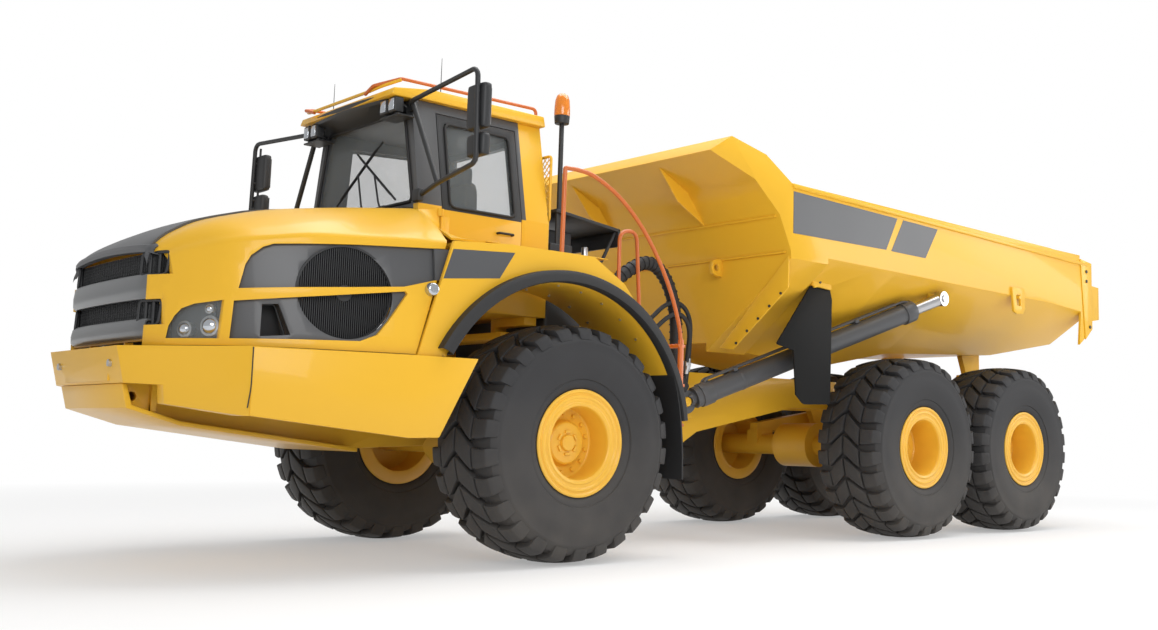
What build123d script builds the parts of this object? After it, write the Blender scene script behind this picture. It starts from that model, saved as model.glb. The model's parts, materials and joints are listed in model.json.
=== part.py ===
from build123d import *

import os
from math import cos, hypot, radians, sin

# Articulated dump truck, in millimetres: +X forward, +Y left, +Z up.
# The origin is on the ground, in the middle of the length and width.
# Places along the truck are told from the front axle, heights from the ground.

# Overall
FRONT_OVERHANG = 3100
WHEELBASE = 4501
BOGIE_SPACING = 1930
REAR_OVERHANG = 1729
LENGTH = FRONT_OVERHANG + WHEELBASE + BOGIE_SPACING + REAR_OVERHANG
AXLE_1 = LENGTH / 2 - FRONT_OVERHANG
AXLE_2_X = -WHEELBASE
AXLE_3_X = -WHEELBASE - BOGIE_SPACING
BOGIE_X = (AXLE_2_X + AXLE_3_X) / 2
TAIL_X = FRONT_OVERHANG - LENGTH

# Fits and gaps
SEAT = 0.3
RUNNING = 0.5
PANEL_GAP = 8

# Wheels
TYRE_RADIUS = 925
TYRE_WIDTH = 780
TRACK = 2636
WHEEL_Y = TRACK / 2
RIM_SEAT_RADIUS = 320
RIM_FLANGE_RADIUS = 415
RIM_WIDTH = 640
RIM_WALL = 22
RIM_OPENING = 276
HUB_RADIUS = 190
SPINDLE_RADIUS = 90
SPINDLE_REACH = 140
AXLE_TUBE_RADIUS = 115
AXLE_Z = TYRE_RADIUS

# Front frame
RAIL_Y = 350
RAIL_THICK = 60
RAIL_TOP = 1400
PIVOT_X = -1277
PIVOT_PIN_RADIUS = 70
PIVOT_LUG_RADIUS = 190
PIVOT_LUG_THICK = 70
PIVOT_LOW = 880
HITCH_GAP = 6
TOW_EYE_X = 2917
TOW_EYE_Y = 450
TOW_EYE_Z = 1190
TOW_EYE_RADIUS = 32
TOW_PLATE = 50

# Panels
PANEL = 30
SEAM_Z = 1515
BUMPER_WALL = 40
BUMPER_LEAN = 53 / 227
SKIRT_X = 2536
FENDER_REAR_X = 960
ARCH_X = 160
ARCH_Z = 950
ARCH_RADIUS = 1200
FENDER_Y = 1690
FLARE_Y = 1720
DECK_Z = 2385

# Hood hinge
HOOD_PIN = (2905, 1540)
HOOD_PIN_RADIUS = 15
HOOD_LUG_Y = 325
HOOD_LUG_THICK = 20
HINGE_GAP = 1

# Cab
CAB_Y = 870
CAB_FLOOR = 1950
CAB_BELT = 2750
CAB_EAVE = 3600
CAB_TOP_Y = 700
CAB_REAR_X = -210
CAB_FRONT_X = 1040
CAB_WALL = 60
ROOF_TOP = CAB_EAVE + 90
GLASS = 8
DOOR_REAR_X = 60
DOOR_FRONT_X = 830
DOOR_LOW = 2410
DOOR_HIGH = CAB_EAVE - 80
DOOR_PIN_X = DOOR_FRONT_X + 5
DOOR_PIN_Y = CAB_Y + 16
DOOR_PIN_RADIUS = 8
DOOR_KNUCKLE = 14
KNUCKLE_LOW = 2503
KNUCKLE_HIGH = 2657

# Rear frame
REAR_RAIL_Y = 440
REAR_RAIL_THICK = 80
REAR_RAIL_TOP = 1610
ROLL_Z = (PIVOT_LOW + RAIL_TOP) / 2
ROLL_RADIUS = 170
REAR_FRONT_X = -1700
TIP_X = -7000
TIP_Z = 1750
TIP_PIN_RADIUS = 60
EAR_RADIUS = 130

# Dump body
BODY_Y = 1687
BODY_PLATE = 28
BODY_KNEE = 2680
BODY_RAIL = 3335
BODY_FRONT_X = -2370
FLAP_Y = 1420
FLAP_THICK = 25

# Hoists
HOIST_FOOT = (-1944, 750, 1312)
HOIST_EYE = (-4840, 1625, 2490)
HOIST_RADIUS = 100
HOIST_ROD_RADIUS = 62
HOIST_BARREL = 2830
HOIST_ROD_START = 180
HOIST_EYE_RADIUS = 78
HOIST_EYE_WIDTH = 90
HOIST_PIN_RADIUS = 40
HOIST_PIN_PLAY = 8
HOIST_BALL_RADIUS = 62
HOIST_EYE_GAP = 16
HOIST_BRACKET = 30
HOIST_BRACKET_GAP = 45

SIDES = (("left", 1), ("right", -1))


def at(x, y, z):
    """A point told from the front axle, as a point of the model."""
    return (AXLE_1 + x, y, z)


def side_plane(y):
    """The upright plane along the truck at y, drawn in x and z."""
    return Plane(origin=at(0, y, 0), x_dir=(1, 0, 0), z_dir=(0, -1, 0))


def cross_plane(x):
    """The upright plane across the truck at x, drawn in y and z."""
    return Plane(origin=at(x, 0, 0), x_dir=(0, 1, 0), z_dir=(1, 0, 0))


def level_plane(z):
    """The level plane at z, drawn in x and y."""
    return Plane(origin=at(0, 0, z), x_dir=(1, 0, 0), z_dir=(0, 0, 1))


def face_on(plane, points):
    """A flat face on the plane with straight edges through the points."""
    with BuildSketch(plane) as outline:
        with BuildLine():
            Polyline(*points, close=True)
        make_face()
    return outline.sketch


def side_plate(points, y_one, y_two, mode=Mode.ADD):
    """A plate that stands along the truck, from one y to the other."""
    y_high = max(y_one, y_two)
    extrude(face_on(side_plane(y_high), points), amount=abs(y_two - y_one), mode=mode)


def cross_plate(points, x_back, x_front, mode=Mode.ADD):
    """A plate that stands across the truck."""
    extrude(face_on(cross_plane(x_back), points), amount=x_front - x_back, mode=mode)


def level_plate(points, z_low, z_high, mode=Mode.ADD):
    """A level plate drawn from above."""
    extrude(face_on(level_plane(z_low), points), amount=z_high - z_low, mode=mode)


def block(x_range, y_range, z_range, mode=Mode.ADD):
    """A box given by its three ranges, in any order."""
    size = [abs(high - low) for low, high in (x_range, y_range, z_range)]
    middle = [(high + low) / 2 for low, high in (x_range, y_range, z_range)]
    with Locations(at(*middle)):
        Box(*size, mode=mode)


def bar(start, end, radius, mode=Mode.ADD):
    """A round bar between two points."""
    run = Vector(*end) - Vector(*start)
    place = Plane(origin=at(*start), z_dir=run)
    with BuildSketch(place) as section:
        Circle(radius)
    extrude(section.sketch, amount=run.length, mode=mode)


def pipe(points, radius, bend):
    """A tube along straight runs joined by arcs."""
    with BuildLine() as route:
        FilletPolyline(*[at(*point) for point in points], radius=bend)
    with BuildSketch(Plane(origin=route.line @ 0, z_dir=route.line % 0)) as section:
        Circle(radius)
    sweep(section.sketch, path=route.line)


def save(piece, name):
    """Labels the piece and writes its file."""
    piece.label = name
    export_step(piece, f"parts/{name}.step")


def mirrored(points):
    """The points and their mirror images across the middle, as one closed outline."""
    return list(points) + [(-y, z) for y, z in reversed(points)]


os.makedirs("parts", exist_ok=True)

# Wheels: axle name, place along the truck, how deep the disc sits behind the outer flange
AXLES = (
    ("front", 0, 250),
    ("middle", AXLE_2_X, 330),
    ("rear", AXLE_3_X, 330),
)
BEAD_HALF = RIM_WIDTH / 2
TYRE_HALF = TYRE_WIDTH / 2
DISC_THICK = 30
HUB_DEPTH = 240
HUB_STEP = 90
HUB_CAP_RADIUS = 68

# Tyre: flat-faced rings with one lug a pitch
LUG_PITCHES = 26
PITCH_ANGLE = 360 / LUG_PITCHES
GROOVE_SHARE = 0.35
GROOVE_FLOOR = 0.943
SHOULDER_RADIUS = TYRE_RADIUS - 82
CROWN_HALF = TYRE_HALF - 160
# place across, radius at the lugs' tips
TREAD_RINGS = (
    (-TYRE_HALF, SHOULDER_RADIUS),
    (-CROWN_HALF, TYRE_RADIUS),
    (CROWN_HALF, TYRE_RADIUS),
    (TYRE_HALF, SHOULDER_RADIUS),
)
# place across, radius: the sidewall from the bead outwards
SIDEWALL = ((BEAD_HALF - SEAT, RIM_FLANGE_RADIUS + 10), (TYRE_HALF, 640))


def wheel_axis(x, side):
    return Axis(at(x, side * WHEEL_Y, AXLE_Z), (0, side, 0))


def wheel_plane(x, side):
    """The plane through a wheel's axis, drawn outwards and up."""
    return Plane(origin=at(x, side * WHEEL_Y, AXLE_Z), x_dir=(0, side, 0), z_dir=(side, 0, 0))


def wheel_ring(x, y, corners):
    """A flat outline round a wheel's axis: corners give a share of a pitch and a radius."""
    points = []
    for pitch in range(LUG_PITCHES):
        for share, radius in corners:
            angle = radians((pitch + share - GROOVE_SHARE / 2) * PITCH_ANGLE - 90)
            points.append((x + radius * cos(angle), AXLE_Z + radius * sin(angle)))
    return face_on(side_plane(y), points)


def lug_ring(x, y, tip):
    """The outline of the lugs where their tips have this radius."""
    half_groove = GROOVE_SHARE / 2
    return wheel_ring(x, y, ((0, tip * GROOVE_FLOOR), (half_groove, tip), (1 - half_groove, tip)))


def plain_ring(x, y, radius):
    return wheel_ring(x, y, ((0, radius),))


for axle, axle_x, dish in AXLES:
    for hand, side in SIDES:
        wheel_y = side * WHEEL_Y
        with BuildPart() as tyre:
            tread = [lug_ring(axle_x, wheel_y + across, tip) for across, tip in TREAD_RINGS]
            loft(Sketch() + tread, ruled=True)
            for end in (-1, 1):
                wall = [
                    plain_ring(axle_x, wheel_y + end * across, radius)
                    for across, radius in SIDEWALL
                ]
                loft(Sketch() + wall, ruled=True, mode=Mode.SUBTRACT)
            bore = (RIM_SEAT_RADIUS + SEAT) / cos(radians(PITCH_ANGLE / 2))
            extrude(
                plain_ring(axle_x, wheel_y + TYRE_HALF, bore),
                amount=TYRE_WIDTH,
                mode=Mode.SUBTRACT,
            )
        save(tyre.part, f"tyre_{axle}_{hand}")

        barrel = RIM_SEAT_RADIUS - RIM_WALL
        disc_x = BEAD_HALF - dish
        hub_x = disc_x + HUB_STEP
        with BuildPart() as rim:
            with BuildSketch(wheel_plane(axle_x, side)):
                with BuildLine():
                    Polyline(
                        (-BEAD_HALF - RIM_WALL, barrel),
                        (-BEAD_HALF - RIM_WALL, RIM_FLANGE_RADIUS),
                        (-BEAD_HALF, RIM_FLANGE_RADIUS),
                        (-BEAD_HALF, RIM_SEAT_RADIUS),
                        (BEAD_HALF, RIM_SEAT_RADIUS),
                        (BEAD_HALF, RIM_FLANGE_RADIUS),
                        (BEAD_HALF + RIM_WALL, RIM_FLANGE_RADIUS),
                        (BEAD_HALF + RIM_WALL, RIM_FLANGE_RADIUS - 25),
                        (BEAD_HALF + 6, RIM_FLANGE_RADIUS - 40),
                        (BEAD_HALF + 6, RIM_OPENING + 25),
                        (BEAD_HALF - 14, RIM_OPENING),
                        (BEAD_HALF - 40, RIM_OPENING),
                        (BEAD_HALF - 60, barrel),
                        (disc_x + DISC_THICK, barrel),
                        (disc_x + DISC_THICK, HUB_RADIUS),
                        (hub_x - 15, HUB_RADIUS - 12),
                        (hub_x, HUB_RADIUS - 28),
                        (hub_x, HUB_CAP_RADIUS),
                        (hub_x + 24, HUB_CAP_RADIUS - 8),
                        (hub_x + 24, 0),
                        (hub_x - HUB_DEPTH + SPINDLE_REACH, 0),
                        (hub_x - HUB_DEPTH + SPINDLE_REACH, SPINDLE_RADIUS + RUNNING),
                        (hub_x - HUB_DEPTH, SPINDLE_RADIUS + RUNNING),
                        (hub_x - HUB_DEPTH, HUB_RADIUS),
                        (disc_x, HUB_RADIUS),
                        (disc_x, barrel),
                        close=True,
                    )
                make_face()
            revolve(axis=wheel_axis(axle_x, side))
        save(rim.part, f"rim_{axle}_{hand}")


def axle_housing(x, dish, bulb):
    """The axle tube between two wheels, with a spindle at each end and the gear housing."""
    shoulder = WHEEL_Y + BEAD_HALF - dish + HUB_STEP - HUB_DEPTH - RUNNING
    bar((x, -shoulder, AXLE_Z), (x, shoulder, AXLE_Z), AXLE_TUBE_RADIUS)
    for _, side in SIDES:
        bar((x, 0, AXLE_Z), (x, side * (shoulder + SPINDLE_REACH - 10), AXLE_Z), SPINDLE_RADIUS)
    bar((x, -bulb / 2, AXLE_Z), (x, bulb / 2, AXLE_Z), bulb / 2)


# Front axle
STRUT_Y = 600
STRUT_RADIUS = 70
STRUT_TOP = 1760
with BuildPart() as front_axle:
    axle_housing(0, AXLES[0][2], 460)
    for _, side in SIDES:
        block((-130, 130), (side * (STRUT_Y - 110), side * (STRUT_Y + 110)), (AXLE_Z, AXLE_Z + 150))
save(front_axle.part, "front_axle")

with BuildPart() as front_suspension:
    for _, side in SIDES:
        bar((0, side * STRUT_Y, AXLE_Z + 150), (0, side * STRUT_Y, STRUT_TOP - 300), STRUT_RADIUS * 0.7)
        bar((0, side * STRUT_Y, STRUT_TOP - 380), (0, side * STRUT_Y, STRUT_TOP), STRUT_RADIUS)
save(front_suspension.part, "front_suspension")

# Front frame: the rails arch over the axle
FRAME_LOW = 880
RAIL_SHAPE = (
    (2850, 1080),
    (2850, RAIL_TOP),
    (-1000, RAIL_TOP),
    (-1000, PIVOT_LOW),
    (-620, PIVOT_LOW),
    (-430, 1200),
    (430, 1200),
    (620, FRAME_LOW),
    (1300, 850),
    (2600, 1000),
)
BELLY_SHAPE = (
    (3030, 1270),
    (2990, 1110),
    (2630, 1000),
    (2050, 925),
    (1300, 830),
    (1300, 860),
    (2050, 955),
    (2630, 1030),
    (2955, 1130),
    (2995, 1270),
)
CAB_POST_X = (-150, 800)
rail_outer = RAIL_Y + RAIL_THICK
with BuildPart() as front_frame:
    for _, side in SIDES:
        side_plate(RAIL_SHAPE, side * RAIL_Y, side * rail_outer)
        for post_x in CAB_POST_X:
            block((post_x, post_x + 120), (side * RAIL_Y, side * rail_outer), (RAIL_TOP, CAB_FLOOR))
            block((post_x, post_x + 120), (side * RAIL_Y, side * (CAB_Y - 40)), (CAB_FLOOR - 70, CAB_FLOOR))
        block((-120, 120), (side * RAIL_Y, side * (STRUT_Y + 110)), (STRUT_TOP, STRUT_TOP + 60))
        side_plate(
            ((2760, 1090), (2760, 1330), (2960, 1330), (2990, 1230), (2960, 1140), (2900, 1110)),
            side * (TOW_EYE_Y - TOW_PLATE / 2),
            side * (TOW_EYE_Y + TOW_PLATE / 2),
        )
    block((-120, 120), (-rail_outer, rail_outer), (STRUT_TOP, STRUT_TOP + 60))
    for x_back, x_front in ((2790, 2850), (-1000, -920)):
        block((x_back, x_front), (-rail_outer, rail_outer), (1090, RAIL_TOP))
    block((2760, 2800), (-rail_outer - 100, rail_outer + 100), (1090, 1330))
    block((-1000, -920), (-rail_outer, rail_outer), (PIVOT_LOW, RAIL_TOP))
    side_plate(BELLY_SHAPE, -600, 600)
    for lug_low in (PIVOT_LOW, RAIL_TOP - PIVOT_LUG_THICK):
        level_plate(
            (
                (-960, -rail_outer),
                (-960, rail_outer),
                (PIVOT_X, PIVOT_LUG_RADIUS),
                (PIVOT_X, -PIVOT_LUG_RADIUS),
            ),
            lug_low,
            lug_low + PIVOT_LUG_THICK,
        )
        bar((PIVOT_X, 0, lug_low), (PIVOT_X, 0, lug_low + PIVOT_LUG_THICK), PIVOT_LUG_RADIUS)
    bar((PIVOT_X, 0, PIVOT_LOW), (PIVOT_X, 0, RAIL_TOP), PIVOT_PIN_RADIUS)
    for _, side in SIDES:
        bar(
            (TOW_EYE_X, side * (TOW_EYE_Y - TOW_PLATE), TOW_EYE_Z),
            (TOW_EYE_X, side * (TOW_EYE_Y + TOW_PLATE), TOW_EYE_Z),
            TOW_EYE_RADIUS,
            mode=Mode.SUBTRACT,
        )
save(front_frame.part, "front_frame")

# Engine: one plain block on four feet on the rails
with BuildPart() as engine_block:
    block((1280, 2480), (-RAIL_Y + 20, RAIL_Y - 20), (1080, 1980))
    for foot_x in (1400, 2250):
        block((foot_x, foot_x + 120), (-rail_outer, rail_outer), (RAIL_TOP, RAIL_TOP + 60))
save(engine_block.part, "engine_block")


# Bumper: a band round the nose, leaning back towards the ground
def bumper_plan(z, inset):
    lean = BUMPER_LEAN * (SEAM_Z - z)
    nose = FRONT_OVERHANG - lean - inset
    return (
        (SKIRT_X - 2 * inset, 1450 - inset),
        (nose, 663 - inset * 0.6),
        (nose, inset * 0.6 - 663),
        (SKIRT_X - 2 * inset, inset - 1450),
    )


BUMPER_LOW = 1040
with BuildPart() as bumper:
    loft(
        Sketch() + [
            face_on(level_plane(SEAM_Z), bumper_plan(SEAM_Z, 0)),
            face_on(level_plane(BUMPER_LOW), bumper_plan(BUMPER_LOW, 0)),
        ],
        ruled=True,
    )
    loft(
        Sketch() + [
            face_on(level_plane(SEAM_Z + 10), bumper_plan(SEAM_Z, BUMPER_WALL)),
            face_on(level_plane(BUMPER_LOW - 10), bumper_plan(BUMPER_LOW, BUMPER_WALL)),
        ],
        ruled=True,
        mode=Mode.SUBTRACT,
    )
    side_plate(
        ((3200, 1285), (2880, 1262), (2866, 1140), (2560, 1070), (2300, 1060), (2300, 900), (3200, 900)),
        -1800,
        1800,
        mode=Mode.SUBTRACT,
    )
    block((2300, SKIRT_X), (-1800, 1800), (900, 1600), mode=Mode.SUBTRACT)
    block((2850, 3060), (-420, 420), (1290, 1350))
    for _, side in SIDES:
        side_plate(
            ((2860, 1340), (2885, 1540), (2895, 1558), (2915, 1558), (2925, 1540), (2940, 1340)),
            side * (HOOD_LUG_Y - HINGE_GAP),
            side * (HOOD_LUG_Y - HINGE_GAP - HOOD_LUG_THICK),
        )
        bar(
            (HOOD_PIN[0], side * (HOOD_LUG_Y - HINGE_GAP - HOOD_LUG_THICK), HOOD_PIN[1]),
            (HOOD_PIN[0], side * (HOOD_LUG_Y + HOOD_LUG_THICK + 5), HOOD_PIN[1]),
            HOOD_PIN_RADIUS,
        )
save(bumper.part, "bumper")

# Skirts behind the bumper, under the hood
with BuildPart() as side_skirts:
    for _, side in SIDES:
        level_plate(
            [
                (x, side * y)
                for x, y in (
                    (SKIRT_X, 1450),
                    (1450, 1665),
                    (FENDER_REAR_X, FENDER_Y),
                    (FENDER_REAR_X, FENDER_Y - PANEL),
                    (1450, 1665 - PANEL),
                    (SKIRT_X, 1450 - PANEL),
                )
            ],
            900,
            SEAM_Z,
        )
    side_plate(
        ((SKIRT_X, 1070), (SKIRT_X, SEAM_Z), (FENDER_REAR_X + 20, SEAM_Z), (1270, 950), (1500, 945)),
        -1800,
        1800,
        mode=Mode.INTERSECT,
    )
save(side_skirts.part, "side_skirts")

# Fenders: outer panel with the wheel arch, top deck and arch band
HOOD_SEAM = ((1445, SEAM_Z), (1190, 2350))


def arch_point(radius, angle):
    return (ARCH_X + radius * cos(radians(angle)), ARCH_Z + radius * sin(radians(angle)))


def arch_band(inner, outer, start, end, y_one, y_two):
    """A curved strip round the wheel arch between two angles."""
    middle = (start + end) / 2
    with BuildSketch(side_plane(max(y_one, y_two))) as band:
        with BuildLine():
            ThreePointArc(arch_point(inner, start), arch_point(inner, middle), arch_point(inner, end))
            Line(arch_point(inner, end), arch_point(outer, end))
            ThreePointArc(arch_point(outer, end), arch_point(outer, middle), arch_point(outer, start))
            Line(arch_point(outer, start), arch_point(inner, start))
        make_face()
    extrude(band.sketch, amount=abs(y_two - y_one))


FENDER_SHAPE = (
    HOOD_SEAM[0],
    HOOD_SEAM[1],
    (700, DECK_Z),
    (-100, DECK_Z),
    (-420, 2200),
    (-845, 1735),
    (-760, 1600),
    (700, SEAM_Z),
)
with BuildPart() as fenders:
    for _, side in SIDES:
        side_plate(FENDER_SHAPE, side * (FENDER_Y - 60), side * (FENDER_Y - 60 - PANEL))
        arch_ends = [(ARCH_X, side * y, ARCH_Z) for y in (1800, 1500)]
        bar(arch_ends[0], arch_ends[1], ARCH_RADIUS + PANEL, mode=Mode.SUBTRACT)
        arch_band(ARCH_RADIUS, ARCH_RADIUS + PANEL, 28, 168, side * 900, side * (FENDER_Y - 60))
        side_plate(
            (
                (1150, 2350 - PANEL),
                (1150, 2350),
                (700, DECK_Z),
                (-100, DECK_Z),
                (-100, DECK_Z - PANEL),
                (700, DECK_Z - PANEL),
            ),
            side * CAB_Y,
            side * (FENDER_Y - 60),
        )
save(fenders.part, "fenders")

with BuildPart() as fender_flares:
    for _, side in SIDES:
        arch_band(
            ARCH_RADIUS, ARCH_RADIUS + 90, 29, 172, side * (FENDER_Y - 60), side * FLARE_Y
        )
        block((-1045, -1020), (side * 1000, side * FLARE_Y), (620, 1190))
save(fender_flares.part, "fender_flares")


# Cab: a straight lower part and an upper part that narrows to the roof
def cab_body(inset):
    """The cab's outer form, or the room inside it when inset by the wall."""
    low = CAB_FLOOR + inset
    x_range = (CAB_REAR_X + inset, CAB_FRONT_X - inset)
    y_low = CAB_Y - inset
    y_high = CAB_TOP_Y - inset
    cross_plate(
        mirrored(((y_low, low), (y_low, CAB_BELT), (y_high, CAB_EAVE - inset))),
        x_range[0],
        x_range[1],
        mode=Mode.SUBTRACT if inset else Mode.ADD,
    )


WINDOW_LOW = CAB_BELT + 10
WINDOW_HIGH = CAB_EAVE - 100
REAR_WINDOW_LOW = CAB_BELT - 50
SCREEN_HALF = 620
REAR_WINDOW_HALF = 560
SIDE_WINDOW = (
    (DOOR_REAR_X, WINDOW_LOW),
    (DOOR_REAR_X, WINDOW_HIGH - 20),
    (DOOR_FRONT_X - 40, WINDOW_HIGH - 60),
    (DOOR_FRONT_X - 70, WINDOW_LOW),
)
with BuildPart() as cab_shell:
    cab_body(0)
    cab_body(CAB_WALL)
    cross_plate(
        mirrored(((CAB_Y - 75, WINDOW_LOW), (SCREEN_HALF, WINDOW_HIGH))),
        CAB_FRONT_X - 200,
        CAB_FRONT_X + 20,
        mode=Mode.SUBTRACT,
    )
    block(
        (CAB_REAR_X - 20, CAB_REAR_X + 100),
        (-REAR_WINDOW_HALF, REAR_WINDOW_HALF),
        (REAR_WINDOW_LOW, WINDOW_HIGH - 20),
        mode=Mode.SUBTRACT,
    )
    side_plate(SIDE_WINDOW, -1000, -500, mode=Mode.SUBTRACT)
    side_plate(
        (
            (DOOR_REAR_X, DOOR_LOW),
            (DOOR_REAR_X, DOOR_HIGH),
            (DOOR_FRONT_X, DOOR_HIGH),
            (DOOR_FRONT_X, DOOR_LOW),
        ),
        500,
        1000,
        mode=Mode.SUBTRACT,
    )
    for low, high in ((KNUCKLE_LOW - 63, KNUCKLE_LOW - 3), (KNUCKLE_HIGH + 3, KNUCKLE_HIGH + 63)):
        bar((DOOR_PIN_X, DOOR_PIN_Y, low), (DOOR_PIN_X, DOOR_PIN_Y, high), DOOR_KNUCKLE)
        block((DOOR_PIN_X, DOOR_PIN_X + 40), (CAB_Y - 5, DOOR_PIN_Y + 8), (low, high))
    bar(
        (DOOR_PIN_X, DOOR_PIN_Y, KNUCKLE_LOW - 63),
        (DOOR_PIN_X, DOOR_PIN_Y, KNUCKLE_HIGH + 63),
        DOOR_PIN_RADIUS,
    )
save(cab_shell.part, "cab_shell")


def cab_side_slab(points, side, depth, thick):
    """A slab that follows the cab's side, a depth below its outer face."""
    outline = ((CAB_Y, CAB_FLOOR), (CAB_Y, CAB_BELT), (CAB_TOP_Y, CAB_EAVE))
    outer = [(side * (y - depth), z) for y, z in outline]
    inner = [(side * (y - depth - thick), z) for y, z in reversed(outline)]
    cross_plate(outer + inner, CAB_REAR_X, CAB_FRONT_X)
    side_plate(points, side * 400, side * 1100, mode=Mode.INTERSECT)


DOOR_GAP = 6
door_shape = (
    (DOOR_REAR_X + DOOR_GAP, DOOR_LOW + DOOR_GAP),
    (DOOR_REAR_X + DOOR_GAP, DOOR_HIGH - DOOR_GAP),
    (DOOR_FRONT_X - DOOR_GAP, DOOR_HIGH - DOOR_GAP),
    (DOOR_FRONT_X - DOOR_GAP, DOOR_LOW + DOOR_GAP),
)
door_window = (
    (DOOR_REAR_X + 75, DOOR_LOW + 340),
    (DOOR_REAR_X + 75, DOOR_HIGH - 75),
    (DOOR_FRONT_X - 75, DOOR_HIGH - 75),
    (DOOR_FRONT_X - 75, DOOR_LOW + 340),
)
with BuildPart() as door_frame:
    cab_side_slab(door_shape, 1, 0, CAB_WALL)
    side_plate(door_window, 400, 1100, mode=Mode.SUBTRACT)
    block((DOOR_FRONT_X - 60, DOOR_FRONT_X - 10), (CAB_Y - 10, DOOR_PIN_Y + 8), (KNUCKLE_LOW, KNUCKLE_HIGH))
    block((DOOR_FRONT_X - 20, DOOR_PIN_X), (CAB_Y + 2, DOOR_PIN_Y + 8), (KNUCKLE_LOW, KNUCKLE_HIGH))
    bar((DOOR_PIN_X, DOOR_PIN_Y, KNUCKLE_LOW), (DOOR_PIN_X, DOOR_PIN_Y, KNUCKLE_HIGH), DOOR_KNUCKLE)
    bar(
        (DOOR_PIN_X, DOOR_PIN_Y, KNUCKLE_LOW - 5),
        (DOOR_PIN_X, DOOR_PIN_Y, KNUCKLE_HIGH + 5),
        DOOR_PIN_RADIUS + RUNNING,
        mode=Mode.SUBTRACT,
    )
save(door_frame.part, "door_frame")

with BuildPart() as door_glass:
    cab_side_slab(door_window, 1, 25, GLASS)
save(door_glass.part, "door_glass")

with BuildPart() as right_glass:
    cab_side_slab(SIDE_WINDOW, -1, 25, GLASS)
with BuildPart() as cab_glass:
    cross_plate(
        mirrored(((CAB_Y - 75, WINDOW_LOW), (SCREEN_HALF, WINDOW_HIGH))),
        CAB_FRONT_X - 30,
        CAB_FRONT_X - 30 + GLASS,
    )
    block(
        (CAB_REAR_X + 25, CAB_REAR_X + 25 + GLASS),
        (-REAR_WINDOW_HALF, REAR_WINDOW_HALF),
        (REAR_WINDOW_LOW, WINDOW_HIGH - 20),
    )
    add(right_glass.part)
save(cab_glass.part, "cab_glass")

# Roof with the visor over the windscreen
with BuildPart() as cab_roof:
    side_plate(
        (
            (CAB_REAR_X - 20, CAB_EAVE),
            (CAB_REAR_X, ROOF_TOP),
            (900, ROOF_TOP),
            (1230, ROOF_TOP - 50),
            (1250, CAB_EAVE - 20),
            (CAB_FRONT_X + 10, CAB_EAVE - 20),
            (CAB_FRONT_X + 10, CAB_EAVE),
        ),
        -760,
        760,
    )
save(cab_roof.part, "cab_roof")

# Inside the cab: seat, dash and steering wheel
with BuildPart() as cab_interior:
    block((150, 600), (-260, 260), (CAB_FLOOR + CAB_WALL, CAB_FLOOR + 350))
    block((120, 620), (-270, 270), (CAB_FLOOR + 350, CAB_FLOOR + 470))
    side_plate(
        ((120, CAB_FLOOR + 400), (60, CAB_FLOOR + 1150), (180, CAB_FLOOR + 1150), (260, CAB_FLOOR + 470)),
        -250,
        250,
    )
    side_plate(
        (
            (CAB_FRONT_X - CAB_WALL, CAB_FLOOR + CAB_WALL),
            (CAB_FRONT_X - CAB_WALL, 2740),
            (850, 2760),
            (760, 2640),
            (800, CAB_FLOOR + CAB_WALL),
        ),
        -700,
        700,
    )
save(cab_interior.part, "cab_interior")

# Rails, mirrors and lamps on the roof
with BuildPart() as roof_rails:
    for _, side in SIDES:
        pipe(
            (
                (CAB_REAR_X + 60, side * 720, ROOF_TOP),
                (CAB_REAR_X + 60, side * 720, ROOF_TOP + 60),
                (1150, side * 720, ROOF_TOP + 40),
                (1300, side * 560, ROOF_TOP - 20),
                (1290, side * 420, ROOF_TOP - 60),
            ),
            14,
            40,
        )
save(roof_rails.part, "roof_rails")

MIRROR_Y = 1820
MIRROR_HIGH = CAB_EAVE - 60
MIRROR_LOW = CAB_BELT + 150
MIRROR_X = 1170
BRACE_X = 1080
BRACE_HIGH_Y = 740
BRACE_LOW_Y = 850
MIRROR_TUBE = 16
with BuildPart() as mirrors:
    for _, side in SIDES:
        outer_y = side * MIRROR_Y
        high_y = side * BRACE_HIGH_Y
        low_y = side * BRACE_LOW_Y
        bar((BRACE_X, high_y, MIRROR_HIGH), (MIRROR_X, outer_y, MIRROR_HIGH + 20), MIRROR_TUBE)
        bar((BRACE_X, low_y, MIRROR_LOW), (MIRROR_X, outer_y, MIRROR_LOW - 10), MIRROR_TUBE)
        bar((MIRROR_X, outer_y, MIRROR_LOW - 25), (MIRROR_X, outer_y, MIRROR_HIGH + 35), MIRROR_TUBE)
        bar((BRACE_X, high_y, MIRROR_HIGH + 15), (BRACE_X, low_y, MIRROR_LOW - 15), MIRROR_TUBE)
        bar((CAB_FRONT_X, side * 670, MIRROR_HIGH), (BRACE_X + 15, side * 670, MIRROR_HIGH), MIRROR_TUBE)
        bar((BRACE_X, side * 655, MIRROR_HIGH), (BRACE_X, side * 745, MIRROR_HIGH + 2), MIRROR_TUBE)
        bar((CAB_FRONT_X, side * 800, MIRROR_LOW), (BRACE_X + 15, side * 800, MIRROR_LOW), MIRROR_TUBE)
        bar((BRACE_X, side * 790, MIRROR_LOW), (BRACE_X, side * 855, MIRROR_LOW), MIRROR_TUBE)
        heads = ((MIRROR_HIGH - 400, MIRROR_HIGH - 80), (MIRROR_LOW + 50, MIRROR_LOW + 210))
        for head in heads:
            block((1110, 1160), (side * (MIRROR_Y - 230), side * (MIRROR_Y - 10)), head)
save(mirrors.part, "mirrors")

with BuildPart() as work_lights:
    for lamp_y in (-640, -430, 430, 640):
        block((1130, 1210), (lamp_y - 70, lamp_y + 70), (CAB_EAVE - 140, CAB_EAVE - 20))
save(work_lights.part, "work_lights")

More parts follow.
